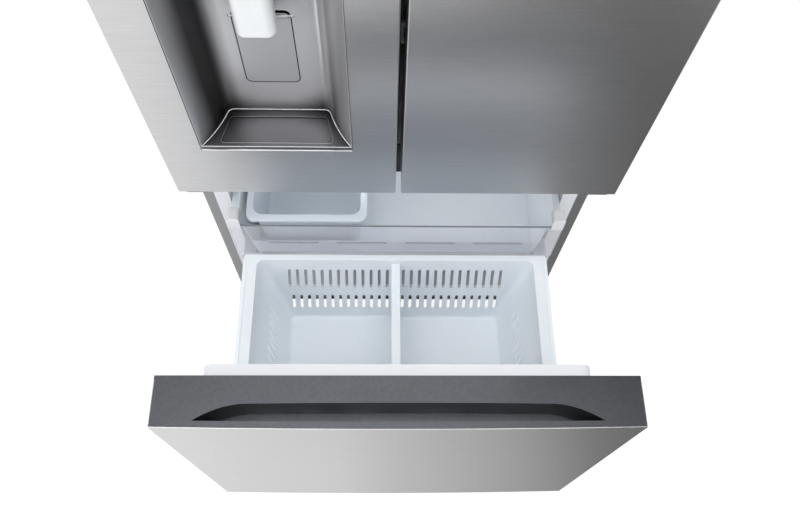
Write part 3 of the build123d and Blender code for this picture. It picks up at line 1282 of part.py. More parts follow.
def make_drawer_liner():
    """Foam-filled inner panel of the drawer front, with a raised rim behind the seal."""
    low = DRAWER_TOP - CAP_TALL
    panel = prism(bow_face(SKIN, SKIN_DEEP), DRAWER_BOTTOM, low)
    panel += wide(HALF, (SKIN_DEEP, DOOR_THICK), (DRAWER_BOTTOM, low))
    panel -= prism(grip_plan(GRIP_WALL), DRAWER_TOP - GRIP_DEEP - GRIP_WALL, low)
    half = CAVITY - DRAWER_DYKE_CLEAR
    z = (FREEZER_FLOOR + DRAWER_DYKE_CLEAR, FREEZER_TOP - DRAWER_DYKE_CLEAR - DRAWER_DYKE_HEADROOM)
    rim = wide(half, (DOOR_THICK, DOOR_THICK + DRAWER_DYKE), z)
    rim = fillet(rim.edges().filter_by(Axis.Y), DRAWER_DYKE_ROUND)
    inner_z = (z[0] + DRAWER_DYKE_WALL, z[1] - DRAWER_DYKE_WALL)
    rim -= wide(half - DRAWER_DYKE_WALL, (DOOR_THICK, DOOR_THICK + DRAWER_DYKE), inner_z)
    return opened(panel + rim)


def make_drawer_gasket():
    """Folded magnetic seal round the drawer front's back."""
    half = HALF - DRAWER_SEAL_INSET
    y = (DOOR_THICK, SEAL - CLEAR)
    z = (DRAWER_BOTTOM + DRAWER_SEAL_ABOVE, DRAWER_TOP - DRAWER_SEAL_BELOW - CAP_TALL)
    return opened(wide(half, y, z) - wide(half - GASKET_WIDTH, y, drawn_in(z, GASKET_WIDTH)))


# ---------------------------------------------------------------- telescopic slides
def rail(x, tall, y):
    """A rail with a ball groove along each face."""
    middle = RAIL_TOP - RAIL_BELOW_SEAT - RAIL_TALL / 2
    bar = block(x, y, (middle - tall / 2, middle + tall / 2))
    groove_z = (middle - RAIL_GROOVE_HALF, middle + RAIL_GROOVE_HALF)
    for edge in x:
        bar -= block((edge - RAIL_GROOVE, edge + RAIL_GROOVE), y, groove_z)
    return bar


def make_outer_rails():
    return both(rail((RAIL_OUTER_X, CAVITY), RAIL_TALL, (RAIL_START, RAIL_START + RAIL_LONG)))


def make_middle_rails():
    x = (RAIL_MIDDLE_X, RAIL_MIDDLE_X + RAIL_MIDDLE)
    pair = both(rail(x, RAIL_TALL - RAIL_STEP, (RAIL_START, RAIL_START + RAIL_LONG)))
    return Pos(0, -DRAWER_TRAVEL / 2, 0) * pair


def make_inner_rails():
    """Rails bolted to the drawer front, whose tops carry the basket."""
    start = DOOR_THICK + DRAWER_DYKE
    x = (RAIL_INNER_X, RAIL_INNER_X + RAIL_INNER)
    bar = rail(x, RAIL_TALL, (start, RAIL_START + RAIL_LONG))
    bar += block(x, (start, RAIL_START + RAIL_LONG), (RAIL_TOP - RAIL_SEAT, RAIL_TOP))
    return opened(both(bar))


# ---------------------------------------------------------------- freezer basket
def basket_sizes():
    top_x = (-BASKET_TOP_HALF, BASKET_TOP_HALF)
    low_x = (-BASKET_FLOOR_HALF, BASKET_FLOOR_HALF)
    top_y = (BASKET_FRONT + BASKET_FRONT_LEDGE, BASKET_BACK)
    low_y = (top_y[0] + BASKET_FRONT_SLANT, BASKET_BACK - BASKET_BACK_SLANT)
    return ((BASKET_FLOOR, BASKET_RIM), low_x, top_x, low_y, top_y, BASKET_CORNER, BASKET_FOOT)


def upright_slots():
    """Two rows of slots to each side of the middle, which fan out a little towards the ends."""
    plane = Plane(origin=(0, FACE + BASKET_BACK + WALL, 0), x_dir=(-1, 0, 0), z_dir=(0, 1, 0))
    count = 1 + int((BASKET_FLOOR_HALF - SLOT_MARGIN - SLOT_FIRST) / SLOT_PITCH)
    reach = BASKET_BACK_SLANT + 3 * BASKET_FOOT
    slots = []
    for low, high in SLOT_ROWS_BELOW:
        z = BASKET_RIM - (low + high) / 2
        for index in range(count):
            x = SLOT_FIRST + index * SLOT_PITCH
            for side in (-1, 1):
                slot = Rot(0, 0, 90 + side * x * SLOT_FAN) * SlotOverall(low - high, SLOT_WIDE)
                slots.append(extrude(plane * (Pos(side * x, z) * slot), -reach))
    return slots


def slanted_slits(count, pitch, long, width, middle, reach):
    """A row of slanted slits through the side walls, drawn from the side."""
    slit = Rot(0, 0, SLIT_ANGLE) * SlotOverall(long, width)
    slits = []
    for index in range(count):
        y = FACE + middle[0] + (index - (count - 1) / 2) * pitch
        outline = Plane.YZ * (Pos(y, middle[1]) * slit)
        for direction in reach:
            slits.append(extrude(outline, direction * WIDTH / 2))
    return slits


def make_basket():
    """White moulded basket with a wide rim that lies on the inner rails."""
    sizes = basket_sizes()
    rim_y = (BASKET_FRONT, BASKET_BACK + BASKET_RIM_BACK)
    rim = wide(BASKET_RIM_HALF, rim_y, (RAIL_TOP, BASKET_RIM))
    rim = fillet(rim.edges().filter_by(Axis.Z), BASKET_RIM_ROUND)
    groove_x = (BASKET_RIM_HALF - BASKET_GROOVE[1], BASKET_RIM_HALF - BASKET_GROOVE[0])
    groove_z = (BASKET_RIM - BASKET_GROOVE_SUNK, BASKET_RIM)
    groove = block(groove_x, drawn_in(rim_y, BASKET_GROOVE_SHORT), groove_z)
    basket = tub(*sizes) + rim - both(groove) - tub_hollow(*sizes)
    middle = ((BASKET_FRONT + BASKET_BACK) / 2, BASKET_FLOOR + SLIT_ABOVE_FLOOR)
    slits = slanted_slits(SLIT_COUNT, SLIT_PITCH, SLIT_LONG, SLIT_WIDE, middle, (-1, 1))
    return opened(basket - upright_slots() - slits)


def make_divider():
    """Plate across the middle of the basket, with a wider rim along its top."""
    run = (BASKET_FRONT, BASKET_BACK)
    plate = wide(DIVIDER_THICK / 2, run, (BASKET_FLOOR, DIVIDER_TOP))
    plate += wide(DIVIDER_RIM / 2, run, (DIVIDER_TOP - DIVIDER_RIM_TALL, DIVIDER_TOP))
    return opened(plate & tub_hollow(*basket_sizes()))


# ---------------------------------------------------------------- upper drawer and ice bin
def upper_sizes():
    top_y = (UPPER_TRAY_FRONT, UPPER_TRAY_FRONT + UPPER_LONG)
    low_y = (top_y[0] + UPPER_FRONT_SLANT, top_y[1] - UPPER_BACK_SLANT)
    low_x = (-UPPER_FLOOR_HALF, UPPER_FLOOR_HALF)
    top_x = (-UPPER_HALF, UPPER_HALF)
    return ((UPPER_FLOOR, UPPER_RIM), low_x, top_x, low_y, top_y, UPPER_CORNER, UPPER_FOOT)


def make_upper_tray():
    """Shallow white tray, cut low at the front, with side rims that run on the liner's ribs."""
    sizes = upper_sizes()
    rim_y = (UPPER_TRAY_FRONT, UPPER_TRAY_FRONT + UPPER_LONG)
    rim = wide(CAVITY - UPPER_RIM_INSET, rim_y, (UPPER_RUNNER, UPPER_CAP_LOW))
    tray = tub(*sizes) + rim - tub_hollow(*sizes)
    front = (UPPER_TRAY_FRONT, UPPER_TRAY_FRONT + UPPER_CORNER)
    tray -= wide(UPPER_HALF - WINDOW_INSET + CLEAR, front, (WINDOW_BOTTOM, UPPER_RIM))
    notches = [notch((index - (NOTCH_COUNT - 1) / 2) * NOTCH_PITCH) for index in range(NOTCH_COUNT)]
    middle = (UPPER_TRAY_FRONT + UPPER_SLIT_BEHIND, UPPER_FLOOR + UPPER_SLIT_ABOVE)
    slits = slanted_slits(UPPER_SLITS, UPPER_SLIT_PITCH, UPPER_SLIT_LONG, UPPER_SLIT_WIDE, middle, (1,))
    return upper_opened(tray - notches - slits)


def notch(x):
    """Shallow trapezium in the tray's front edge."""
    low = WINDOW_BOTTOM - NOTCH_TALL
    half = NOTCH_WIDE / 2
    foot = half - NOTCH_BEVEL
    points = [(x - half, WINDOW_BOTTOM), (x + half, WINDOW_BOTTOM), (x + foot, low), (x - foot, low)]
    plane = Plane(origin=(0, FACE + UPPER_FRONT, 0), x_dir=(1, 0, 0), z_dir=(0, -1, 0))
    return extrude(plane * Polygon(*points, align=None), -UPPER_CORNER)


def make_window():
    """Clear front plate, wide at its foot and narrower between the two end caps."""
    y = (UPPER_FRONT, UPPER_FRONT + WALL)
    foot = wide(CAVITY - UPPER_RIM_INSET, y, (UPPER_FLOOR, UPPER_CAP_LOW - CLEAR))
    return upper_opened(foot + wide(UPPER_HALF - WINDOW_INSET, y, (UPPER_FLOOR, WINDOW_TOP)))


def make_upper_caps():
    """Blocks at both front corners of the upper drawer, which hold the window's ends."""
    x = (UPPER_HALF - WINDOW_INSET + CLEAR, CAVITY - UPPER_RIM_INSET)
    z = (UPPER_CAP_LOW, UPPER_CAP_LOW + UPPER_CAP_TALL)
    cap = block(x, (UPPER_FRONT, UPPER_FRONT + UPPER_CAP_DEEP), z)
    cap = fillet(cap.edges().filter_by(Axis.Y).sort_by(Axis.Z)[-2:], UPPER_CAP_ROUND)
    return upper_opened(both(cap - tub(*upper_sizes())))


def make_ice_bin():
    """White bin with a rolled rim, which slides sideways in the upper drawer."""
    rim_x = (BIN_LEFT, BIN_RIGHT)
    y = (BIN_FRONT, BIN_FRONT + BIN_LONG)
    body_x = drawn_in(rim_x, BIN_LEDGE)
    body_y = drawn_in(y, BIN_LEDGE)
    low_x = drawn_in(body_x, BIN_SIDE_SLANT)
    low_y = drawn_in(body_y, BIN_END_SLANT)
    z = (UPPER_FLOOR + WALL + CLEAR, BIN_TOP)
    sizes = (z, low_x, body_x, low_y, body_y, BIN_CORNER, BIN_FOOT)
    rim = block(rim_x, y, (BIN_TOP - BIN_RIM_TALL, BIN_TOP))
    rim = fillet(rim.edges().filter_by(Axis.Z), BIN_RIM_ROUND)
    return upper_opened(tub(*sizes) + rim - tub_hollow(*sizes))


# ---------------------------------------------------------------- every piece under its name
PIECES = {
    "cabinet_wrapper": make_wrapper,
    "insulation_foam": make_foam,
    "fresh_food_liner": make_fresh_liner,
    "freezer_liner": make_freezer_liner,
    "rear_panel": make_rear_panel,
    "centre_crossbar": make_crossbar,
    "base_frame": make_base_frame,
    "toe_grille": make_toe_grille,
    "machine_cover": make_machine_cover,
    "compressor": make_compressor,
    "condenser_coil": make_condenser_coil,
    "condenser_fan": make_condenser_fan,
    "fan_shroud": make_fan_shroud,
    "drain_pan": make_drain_pan,
    "evaporator": make_evaporator,
    "evaporator_fan": make_evaporator_fan,
    "evaporator_cover": make_evaporator_cover,
    "ice_maker": make_ice_maker,
    "ceiling_lamp": make_ceiling_lamp,
    "shelf_frames": make_shelf_frames,
    "shelf_glass": make_shelf_glass,
    "crisper_frame": make_crisper_frame,
    "top_hinges": make_top_hinges,
    "hinge_covers": make_hinge_covers,
    "centre_hinges": make_centre_hinges,
    "outer_rails": make_outer_rails,
    "middle_rails": make_middle_rails,
    "inner_rails": make_inner_rails,
    "drawer_front_skin": make_drawer_skin,
    "drawer_top_cap": make_drawer_cap,
    "drawer_liner": make_drawer_liner,
    "drawer_gasket": make_drawer_gasket,
    "freezer_basket": make_basket,
    "basket_divider": make_divider,
    "upper_drawer_tray": make_upper_tray,
    "upper_drawer_window": make_window,
    "upper_drawer_caps": make_upper_caps,
    "ice_bin": make_ice_bin,
    "dispenser_housing": make_housing,
    "dispenser_panel": make_panel,
    "dispenser_nozzle": make_nozzle,
    "dispenser_paddle": make_paddle,
    "drip_tray": make_drip_tray,
    "centre_flap": make_centre_flap,
}

SIDED = {
    "levelling_leg": make_leg,
    "rear_roller": make_roller,
    "crisper": make_crisper,
    "door_skin": make_door_skin,
    "door_caps": make_door_caps,
    "door_liner": make_door_liner,
    "door_gasket": make_door_gasket,
    "door_bins": make_door_bins,
}

os.makedirs("parts", exist_ok=True)
for name, make in PIECES.items():
    export_step(make(), f"parts/{name}.step")
for name, make in SIDED.items():
    for word, side in (("left", -1), ("right", 1)):
        export_step(make(side), f"parts/{word}_{name}.step")
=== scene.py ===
# %% [markdown]
# # A bottom freezer refrigerator, dressed for its picture
# The construction model gives every piece its true size and place. This lesson adds what the eye
# reads: finishes, seals, screws and small edges. It starts by loading that model as a fixed frame,
# and nothing in the frame is moved afterwards.

# %% Load the frame
import math

import bmesh
import bpy
from mathutils import Matrix, Vector


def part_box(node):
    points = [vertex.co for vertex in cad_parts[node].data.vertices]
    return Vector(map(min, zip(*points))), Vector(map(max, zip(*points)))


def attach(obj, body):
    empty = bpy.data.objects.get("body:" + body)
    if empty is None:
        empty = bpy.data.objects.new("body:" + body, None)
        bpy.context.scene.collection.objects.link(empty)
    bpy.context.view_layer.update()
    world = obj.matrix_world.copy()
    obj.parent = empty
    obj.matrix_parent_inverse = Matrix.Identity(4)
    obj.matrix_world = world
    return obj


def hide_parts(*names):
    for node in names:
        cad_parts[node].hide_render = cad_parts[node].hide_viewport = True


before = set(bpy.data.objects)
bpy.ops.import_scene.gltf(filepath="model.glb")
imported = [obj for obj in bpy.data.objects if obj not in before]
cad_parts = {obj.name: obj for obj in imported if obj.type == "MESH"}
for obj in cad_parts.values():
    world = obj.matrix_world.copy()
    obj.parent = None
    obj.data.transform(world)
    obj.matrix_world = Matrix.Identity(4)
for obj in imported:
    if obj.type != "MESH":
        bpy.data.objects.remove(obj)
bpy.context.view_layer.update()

scene = bpy.context.scene

# %% [markdown]
# ## Small tools
# A colour is written as it looks on a screen, and Blender mixes light in linear values, so one
# function turns a hex code into those. Shader and geometry trees are both built from nodes, so one
# function adds a node with its settings and links.

# %% A colour from its hex code
MM = 0.001


def linear(code):
    """An sRGB hex colour such as #c0c0c2 as linear red, green, blue and alpha."""
    parts = [int(code[k:k + 2], 16) / 255 for k in (1, 3, 5)]
    return [p / 12.92 if p <= 0.04045 else ((p + 0.055) / 1.055) ** 2.4 for p in parts] + [1.0]


print("mid grey #808080 is", round(linear("#808080")[0], 3), "in linear light")


# %% One function for every node
def add(tree, kind, inputs=None, **settings):
    """Adds a node; inputs are plain values, or output sockets to link from."""
    made = tree.nodes.new(kind)
    for name, value in settings.items():
        setattr(made, name, value)
    for name, value in (inputs or {}).items():
        if isinstance(value, bpy.types.NodeSocket):
            tree.links.new(value, made.inputs[name])
        else:
            made.inputs[name].default_value = value
    return made


# %% [markdown]
# ## Camera
# The picture looks steeply down on the open drawer from just in front of it. The doors' and the
# drawer's corners give the camera's place, its turn and its lens. The horizon sits above the
# picture's middle, so the lens is shifted a little, as an architect's camera is.

# %% Camera from the corners of the doors and the drawer
CAMERA_PLACE = Vector((-0.0285, -0.98465, 2.0229))
CAMERA_YAW = math.radians(-3.21)
CAMERA_TILT = math.radians(23.56)
CAMERA_ROLL = math.radians(3.11)
LENS = 31.69
PRINCIPAL_DROP = 44.5 / 800
NEAREST = 0.05

camera = bpy.data.objects.new("camera", bpy.data.cameras.new("camera"))
scene.collection.objects.link(camera)
scene.camera = camera
turn = Matrix.Rotation(CAMERA_YAW, 4, "Z") @ Matrix.Rotation(CAMERA_TILT, 4, "X")
camera.matrix_world = Matrix.Translation(CAMERA_PLACE) @ turn @ Matrix.Rotation(CAMERA_ROLL, 4, "Z")
camera.data.lens = LENS
camera.data.shift_y = PRINCIPAL_DROP
camera.data.clip_start = NEAREST
print("camera looks along", [round(v, 3) for v in -camera.matrix_world.col[2].xyz])

# %% [markdown]
# ## Studio
# Three wide softboxes, at the left, in front and above, light the object on a pale sweep, and a faint
# strip lights the freezer's mouth. The camera and clear plastic see that sweep as white. Polished
# steel would look flat in an even white room, so a photographer hangs dark flags beside it. Here the
# sweep itself grades from white at the left to dark at the right, and up again far out, but only for
# rays that a shiny surface sends.

# %% Lamps
scene.view_settings.view_transform = "Standard"


def softbox(name, place, aim, size, watts):
    """A rectangular area lamp that faces a point."""
    lamp = bpy.data.lights.new(name, "AREA")
    lamp.shape = "RECTANGLE"
    lamp.size, lamp.size_y = size
    lamp.energy = watts
    holder = bpy.data.objects.new(name, lamp)
    scene.collection.objects.link(holder)
    holder.location = place
    holder.rotation_euler = (Vector(aim) - Vector(place)).to_track_quat("-Z", "Y").to_euler()


LAMPS = (("left_softbox", (-2.6, -1.6, 2.4), (0, -0.2, 0.8), (1.8, 1.8), 22),
         ("front_softbox", (0.3, -2.8, 2.6), (0, -0.3, 0.6), (2.2, 1.4), 30),
         ("top_softbox", (0, -0.9, 3.4), (0, -0.4, 0.6), (2.4, 1.6), 36),
         ("freezer_light", (0, -0.03, 0.688), (0, 0.12, 0.4), (0.6, 0.02), 0.3))
for name, place, aim, size, watts in LAMPS:
    softbox(name, place, aim, size, watts)
print("lamps:", ", ".join(lamp[0] for lamp in LAMPS))

# %% White surroundings with a graded reflection
AMBIENT = 0.72
FLAG_STOPS = ((0.25, 0.98), (0.4, 0.78), (0.46, 0.73), (0.5, 0.6), (0.59, 0.4),
              (0.65, 0.21), (0.75, 0.1), (0.8, 0.12), (1.0, 0.5))
FLAG_REACH = 2.0
SKY_REACH = 1.0


def set_stops(ramp, stops):
    """Gives a colour ramp its stops, each a place from 0 to 1 and a grey."""
    elements = ramp.color_ramp.elements
    while len(elements) < len(stops):
        elements.new(0.5)
    for element, (position, grey) in zip(elements, stops):
        element.position = position
        element.color = (grey, grey, grey, 1)


world = bpy.data.worlds.new("studio")
world.use_nodes = True
scene.world = world
sky = world.node_tree
sky.nodes.clear()


def graded(tree, place, reach):
    """How bright the sweep looks, graded along X in a reflection, and whether a ray sees it directly."""
    path = add(tree, "ShaderNodeLightPath")
    along = add(tree, "ShaderNodeSeparateXYZ", {0: place}).outputs[0]
    share = add(tree, "ShaderNodeMapRange", {"Value": along, "From Min": -reach, "From Max": reach})
    ramp = add(tree, "ShaderNodeValToRGB", {"Fac": share.outputs[0]})
    set_stops(ramp, FLAG_STOPS)
    seen = add(tree, "ShaderNodeMix", {0: path.outputs["Is Glossy Ray"], 2: 1.0, 3: ramp.outputs[0]})
    sharp = {0: path.outputs["Is Camera Ray"], 1: path.outputs["Is Glossy Ray"]}
    either = add(tree, "ShaderNodeMath", sharp, operation="MAXIMUM")
    clear_too = {0: either.outputs[0], 1: path.outputs["Is Transmission Ray"]}
    direct = add(tree, "ShaderNodeMath", clear_too, operation="MAXIMUM")
    return seen.outputs[0], direct.outputs[0]


direction = add(sky, "ShaderNodeTexCoord").outputs["Generated"]
shown, direct = graded(sky, direction, SKY_REACH)
strength = add(sky, "ShaderNodeMix", {0: direct, 2: AMBIENT, 3: shown})
backdrop = add(sky, "ShaderNodeBackground", {"Color": (1, 1, 1, 1), "Strength": strength.outputs[0]})
add(sky, "ShaderNodeOutputWorld", {"Surface": backdrop.outputs[0]})
print("ambient light", AMBIENT, "and", len(FLAG_STOPS), "steps from the left to the right")

# %% Pale floor that keeps a soft shadow
FLOOR_HALF = 9.0
FLOOR_GLOW = 0.88
FLOOR_MATT = 0.2


def pale_floor():
    mesh = bpy.data.meshes.new("floor")
    corners = [(x * FLOOR_HALF, y * FLOOR_HALF, 0) for x, y in ((-1, -1), (1, -1), (1, 1), (-1, 1))]
    mesh.from_pydata(corners, [], [(0, 1, 2, 3)])
    floor = bpy.data.objects.new("floor", mesh)
    scene.collection.objects.link(floor)
    material = bpy.data.materials.new("floor_paper")
    material.use_nodes = True
    tree = material.node_tree
    tree.nodes.clear()
    shown, direct = graded(tree, add(tree, "ShaderNodeTexCoord").outputs["Object"], FLAG_REACH)
    paper = add(tree, "ShaderNodeBsdfDiffuse", {"Color": linear("#e4e4e4")})
    matt = add(tree, "ShaderNodeMath", {0: shown, 1: FLOOR_MATT}, operation="MULTIPLY")
    faint = add(tree, "ShaderNodeBsdfDiffuse", {"Color": matt.outputs[0]})
    level = add(tree, "ShaderNodeMath", {0: shown, 1: FLOOR_GLOW}, operation="MULTIPLY")
    glow = add(tree, "ShaderNodeEmission", {"Strength": level.outputs[0]})
    white = add(tree, "ShaderNodeAddShader", {0: faint.outputs[0], 1: glow.outputs[0]})
    both = add(tree, "ShaderNodeMixShader", {0: direct, 1: paper.outputs[0], 2: white.outputs[0]})
    add(tree, "ShaderNodeOutputMaterial", {"Surface": both.outputs[0]})
    mesh.materials.append(material)
    return floor


pale_floor()
print("floor", 2 * FLOOR_HALF, "m wide")

# %% [markdown]
# ## Finishes
# Every finish starts from a real material and how its surface was made. A pattern is a noise whose
# blotches have a real size in metres. It shifts the colour a little, changes how dull the surface is,
# and stands up as a slight relief. Blender's noise filter takes a surface with a roughness under 0.27
# for a mirror, so each finish stays on one side of that value and its blotches leave no outlines.

# %% Tools for finishes
USUAL_SPAN = (0.3, 0.7)


def new_finish(name, colour, roughness, metallic=0.0, **sockets):
    """A material with one Principled shader, set from plain values."""
    material = bpy.data.materials.new(name)
    material.use_nodes = True
    tree = material.node_tree
    shader = tree.nodes["Principled BSDF"]
    shader.inputs["Base Color"].default_value = linear(colour)
    shader.inputs["Roughness"].default_value = roughness
    shader.inputs["Metallic"].default_value = metallic
    for socket, value in sockets.items():
        shader.inputs[socket.replace("_", " ")].default_value = value
    return material, tree, shader


def blotches(tree, size, stretch=(1, 1, 1), detail=2.0):
    """A noise over the object's own space, its blotches as large as size, drawn out by stretch."""
    place = add(tree, "ShaderNodeTexCoord").outputs["Object"]
    spread = [1 / (size * s) for s in stretch]
    place = add(tree, "ShaderNodeMapping", {"Vector": place, "Scale": spread}).outputs[0]
    return add(tree, "ShaderNodeTexNoise", {"Vector": place, "Scale": 1.0, "Detail": detail}).outputs["Fac"]


def between(tree, pattern, low, high):
    """The pattern's usual span, spread over two values."""
    span = {"From Min": USUAL_SPAN[0], "From Max": USUAL_SPAN[1], "To Min": low, "To Max": high}
    return add(tree, "ShaderNodeMapRange", {"Value": pattern, **span}).outputs[0]


def tinted(tree, shader, pattern, first, second):
    """Two close colours, mixed by a pattern."""
    colours = {"Factor": pattern, 6: linear(first), 7: linear(second)}
    mix = add(tree, "ShaderNodeMix", colours, data_type="RGBA")
    tree.links.new(mix.outputs[2], shader.inputs["Base Color"])


def relief(tree, shader, pattern, height, strength=1.0):
    """The pattern as a slight relief of a real height."""
    bump = add(tree, "ShaderNodeBump", {"Height": pattern, "Distance": height, "Strength": strength})
    tree.links.new(bump.outputs[0], shader.inputs["Normal"])


def dulled(tree, shader, pattern, low, high):
    """A roughness that wanders between two values."""
    tree.links.new(between(tree, pattern, low, high), shader.inputs["Roughness"])


def dress(material, *nodes):
    """Gives a finish to whole nodes of the frame."""
    for name in nodes:
        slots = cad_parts[name].data.materials
        slots.clear()
        slots.append(material)
    print(material.name, "on", ", ".join(nodes))


# %% [markdown]
# ### Brushed stainless steel
# The doors and the drawer front are ferritic stainless steel, brushed along their width and sealed
# with a clear lacquer. The brush leaves scratches a tenth of a millimetre high and as long as a
# finger. They are drawn about a millimetre high here, because finer ones wouldn't show.

# %% Brushed stainless steel
SCRATCH = 1.1 * MM
SCRATCH_LONG = 45.0
SCRATCH_DEEP = 0.002 * MM


def brushed_steel(name, first, second):
    material, tree, shader = new_finish(name, first, 0.3, 1.0, Anisotropic=0.6)
    fine = blotches(tree, SCRATCH, (SCRATCH_LONG, SCRATCH_LONG, 1), 1.5)
    wide = blotches(tree, 4 * SCRATCH, (SCRATCH_LONG, SCRATCH_LONG, 1))
    tinted(tree, shader, between(tree, fine, 0.0, 1.0), first, second)
    dulled(tree, shader, wide, 0.28, 0.31)
    relief(tree, shader, fine, SCRATCH_DEEP)
    along = add(tree, "ShaderNodeTangent", direction_type="RADIAL", axis="Z")
    tree.links.new(along.outputs[0], shader.inputs["Tangent"])
    return material


brushed = brushed_steel("brushed_stainless_steel", "#cdcdce", "#d6d6d7")
dress(brushed, "left_door_skin", "right_door_skin", "drawer_front_skin")

# %% [markdown]
# ### Painted steel and silver paint
# The cabinet is coil-coated steel with a fine stucco grain. The dispenser's mouldings are ABS,
# sprayed with a silver paint whose flakes give a soft metallic sheen; its colour is darkened in
# corners as a painted shade. Deep in the recess each side wall reflects little but the other wall,
# so the housing's paint also gets a painted shade along its width, standing in for that reflection.

# %% Painted case
STUCCO_GRAIN = 1.6 * MM
STUCCO_DEEP = 0.12 * MM
CASE_SPOT = 200 * MM


def painted_case():
    material, tree, shader = new_finish("stucco_coated_steel", "#9b9c9e", 0.42, 0.7)
    grain = blotches(tree, STUCCO_GRAIN, detail=1.0)
    tinted(tree, shader, between(tree, grain, 0.0, 1.0), "#969799", "#a0a1a3")
    dulled(tree, shader, blotches(tree, CASE_SPOT), 0.38, 0.48)
    relief(tree, shader, grain, STUCCO_DEEP, 0.6)
    return material


dress(painted_case(), "cabinet_wrapper")


# %% Silver paint on ABS
CORNER_SHADE_REACH = 70 * MM
CLOSED, OPEN = 0.42, 0.78
FLAKE, FLAKE_DEEP = 9 * MM, 0.01 * MM
DULL_SPOT = 50 * MM


def silver_paint(name, colour, corner, roughness):
    """The paint turns to the darker corner colour where ambient occlusion finds a corner: a painted shade."""
    material, tree, shader = new_finish(name, colour, roughness, 0.75)
    shade_openness = add(tree, "ShaderNodeAmbientOcclusion", {"Distance": CORNER_SHADE_REACH}, samples=8).outputs["AO"]
    share = add(tree, "ShaderNodeMapRange", {"Value": shade_openness, "From Min": CLOSED, "From Max": OPEN})
    # Painted shade: the paint turns to the corner colour where the occlusion finds a corner.
    tinted(tree, shader, share.outputs[0], corner, colour)
    dulled(tree, shader, blotches(tree, DULL_SPOT), roughness, roughness + 0.05)
    relief(tree, shader, blotches(tree, FLAKE, detail=0.0), FLAKE_DEEP)
    return material, tree, shader


# The third colour of each silver paint is its painted shade in corners.
silver = silver_paint("silver_paint_on_abs", "#d0d0d3", "#1a1a1b", 0.3)[0]
dress(silver, "dispenser_paddle", "ice_maker")
dress(silver_paint("grey_paint_on_abs", "#6f6f72", "#242425", 0.3)[0], "drip_tray")

# %% The housing's walls, with painted shade towards their back corners
HOUSING_RIM = 6.5 * MM
# Greys of the painted shade, from the recess's left wall to its right wall.
WALL_SHADE_STOPS = ((0.0, 0.75), (0.05, 0.5), (0.1, 0.08), (0.145, 0.035), (0.2, 0.5), (0.27, 1.0), (0.8, 1.0),
              (0.855, 0.85), (0.885, 0.28), (0.93, 0.7), (1.0, 0.75))


def recess_paint():
    """The silver paint, times a painted shade that runs along the recess from its left to its right."""
    material, tree, shader = silver_paint("silver_paint_in_recess", "#dcdcdf", "#1a1a1b", 0.3)
    low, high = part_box("dispenser_housing")
    ends = {"From Min": low.x + HOUSING_RIM, "From Max": high.x - HOUSING_RIM}
    place = add(tree, "ShaderNodeTexCoord").outputs["Object"]
    across = add(tree, "ShaderNodeSeparateXYZ", {0: place}).outputs[0]
    share = add(tree, "ShaderNodeMapRange", {"Value": across, **ends})
    shade = add(tree, "ShaderNodeValToRGB", {"Fac": share.outputs[0]})
    set_stops(shade, WALL_SHADE_STOPS)
    paint = shader.inputs["Base Color"].links[0].from_socket
    both = {"Factor": 1.0, 6: paint, 7: shade.outputs[0]}
    deeper = add(tree, "ShaderNodeMix", both, data_type="RGBA", blend_type="MULTIPLY")
    tree.links.new(deeper.outputs[2], shader.inputs["Base Color"])
    return material


dress(recess_paint(), "dispenser_housing")


# %% Dark grey moulding of the cap and the grip
CAP_FLAKE, CAP_SPOT = 7 * MM, 80 * MM


def dark_moulding():
    material, tree, shader = new_finish("dark_grey_painted_abs", "#57595d", 0.34, 0.85)
    flakes = blotches(tree, CAP_FLAKE, detail=0.0)
    tinted(tree, shader, between(tree, flakes, 0.0, 1.0), "#55575b", "#595b5f")
    dulled(tree, shader, blotches(tree, CAP_SPOT), 0.3, 0.4)
    relief(tree, shader, flakes, FLAKE_DEEP)
    return material


cap_paint = dark_moulding()
dress(cap_paint, "drawer_top_cap", "left_door_caps", "right_door_caps", "hinge_covers", "toe_grille")


# %% [markdown]
# ### White plastics
# Liners are vacuum-formed polystyrene: very even, slightly glossy, with a faint waviness where the
# sheet cooled on its mould. Baskets are milky polypropylene, which lets a little light in.

# %% Liner sheet
SHEET_WAVE, SHEET_WAVE_DEEP = 250 * MM, 0.15 * MM


def liner_sheet():
    material, tree, shader = new_finish("vacuum_formed_polystyrene", "#ebedf0", 0.29)
    wave = blotches(tree, SHEET_WAVE)
    tinted(tree, shader, between(tree, wave, 0.0, 1.0), "#ebedf0", "#e8eaee")
    dulled(tree, shader, blotches(tree, DULL_SPOT), 0.29, 0.37)
    relief(tree, shader, wave, SHEET_WAVE_DEEP, 0.5)
    return material


liner = liner_sheet()
dress(liner, "fresh_food_liner", "freezer_liner", "evaporator_cover", "shelf_frames", "crisper_frame",
      "drawer_liner", "left_door_liner", "right_door_liner")


# %% Basket polypropylene
LIGHT_SOAK = 8 * MM
MILK_CLOUD, MILK_SPOT = 300 * MM, 40 * MM
MOULD_GRAIN, MOULD_GRAIN_DEEP = 1.2 * MM, 0.01 * MM


def milky_plastic(name, first, second):
    """Light soaks a few millimetres into it, equally in every colour, so thin walls glow a little."""
    material, tree, shader = new_finish(name, first, 0.33, Subsurface_Weight=0.5,
                                        Subsurface_Scale=LIGHT_SOAK, Subsurface_Radius=(1, 1, 1))
    cloud = blotches(tree, MILK_CLOUD)
    tinted(tree, shader, between(tree, cloud, 0.0, 1.0), first, second)
    dulled(tree, shader, blotches(tree, MILK_SPOT), 0.3, 0.38)
    relief(tree, shader, blotches(tree, MOULD_GRAIN, detail=1.0), MOULD_GRAIN_DEEP)
    return material


dress(milky_plastic("milky_polypropylene", "#ebf2f9", "#eef5fb"), "freezer_basket", "basket_divider",
      "upper_drawer_tray")
dress(milky_plastic("milky_polypropylene_bin", "#dce4ed", "#e0e8f0"), "ice_bin")


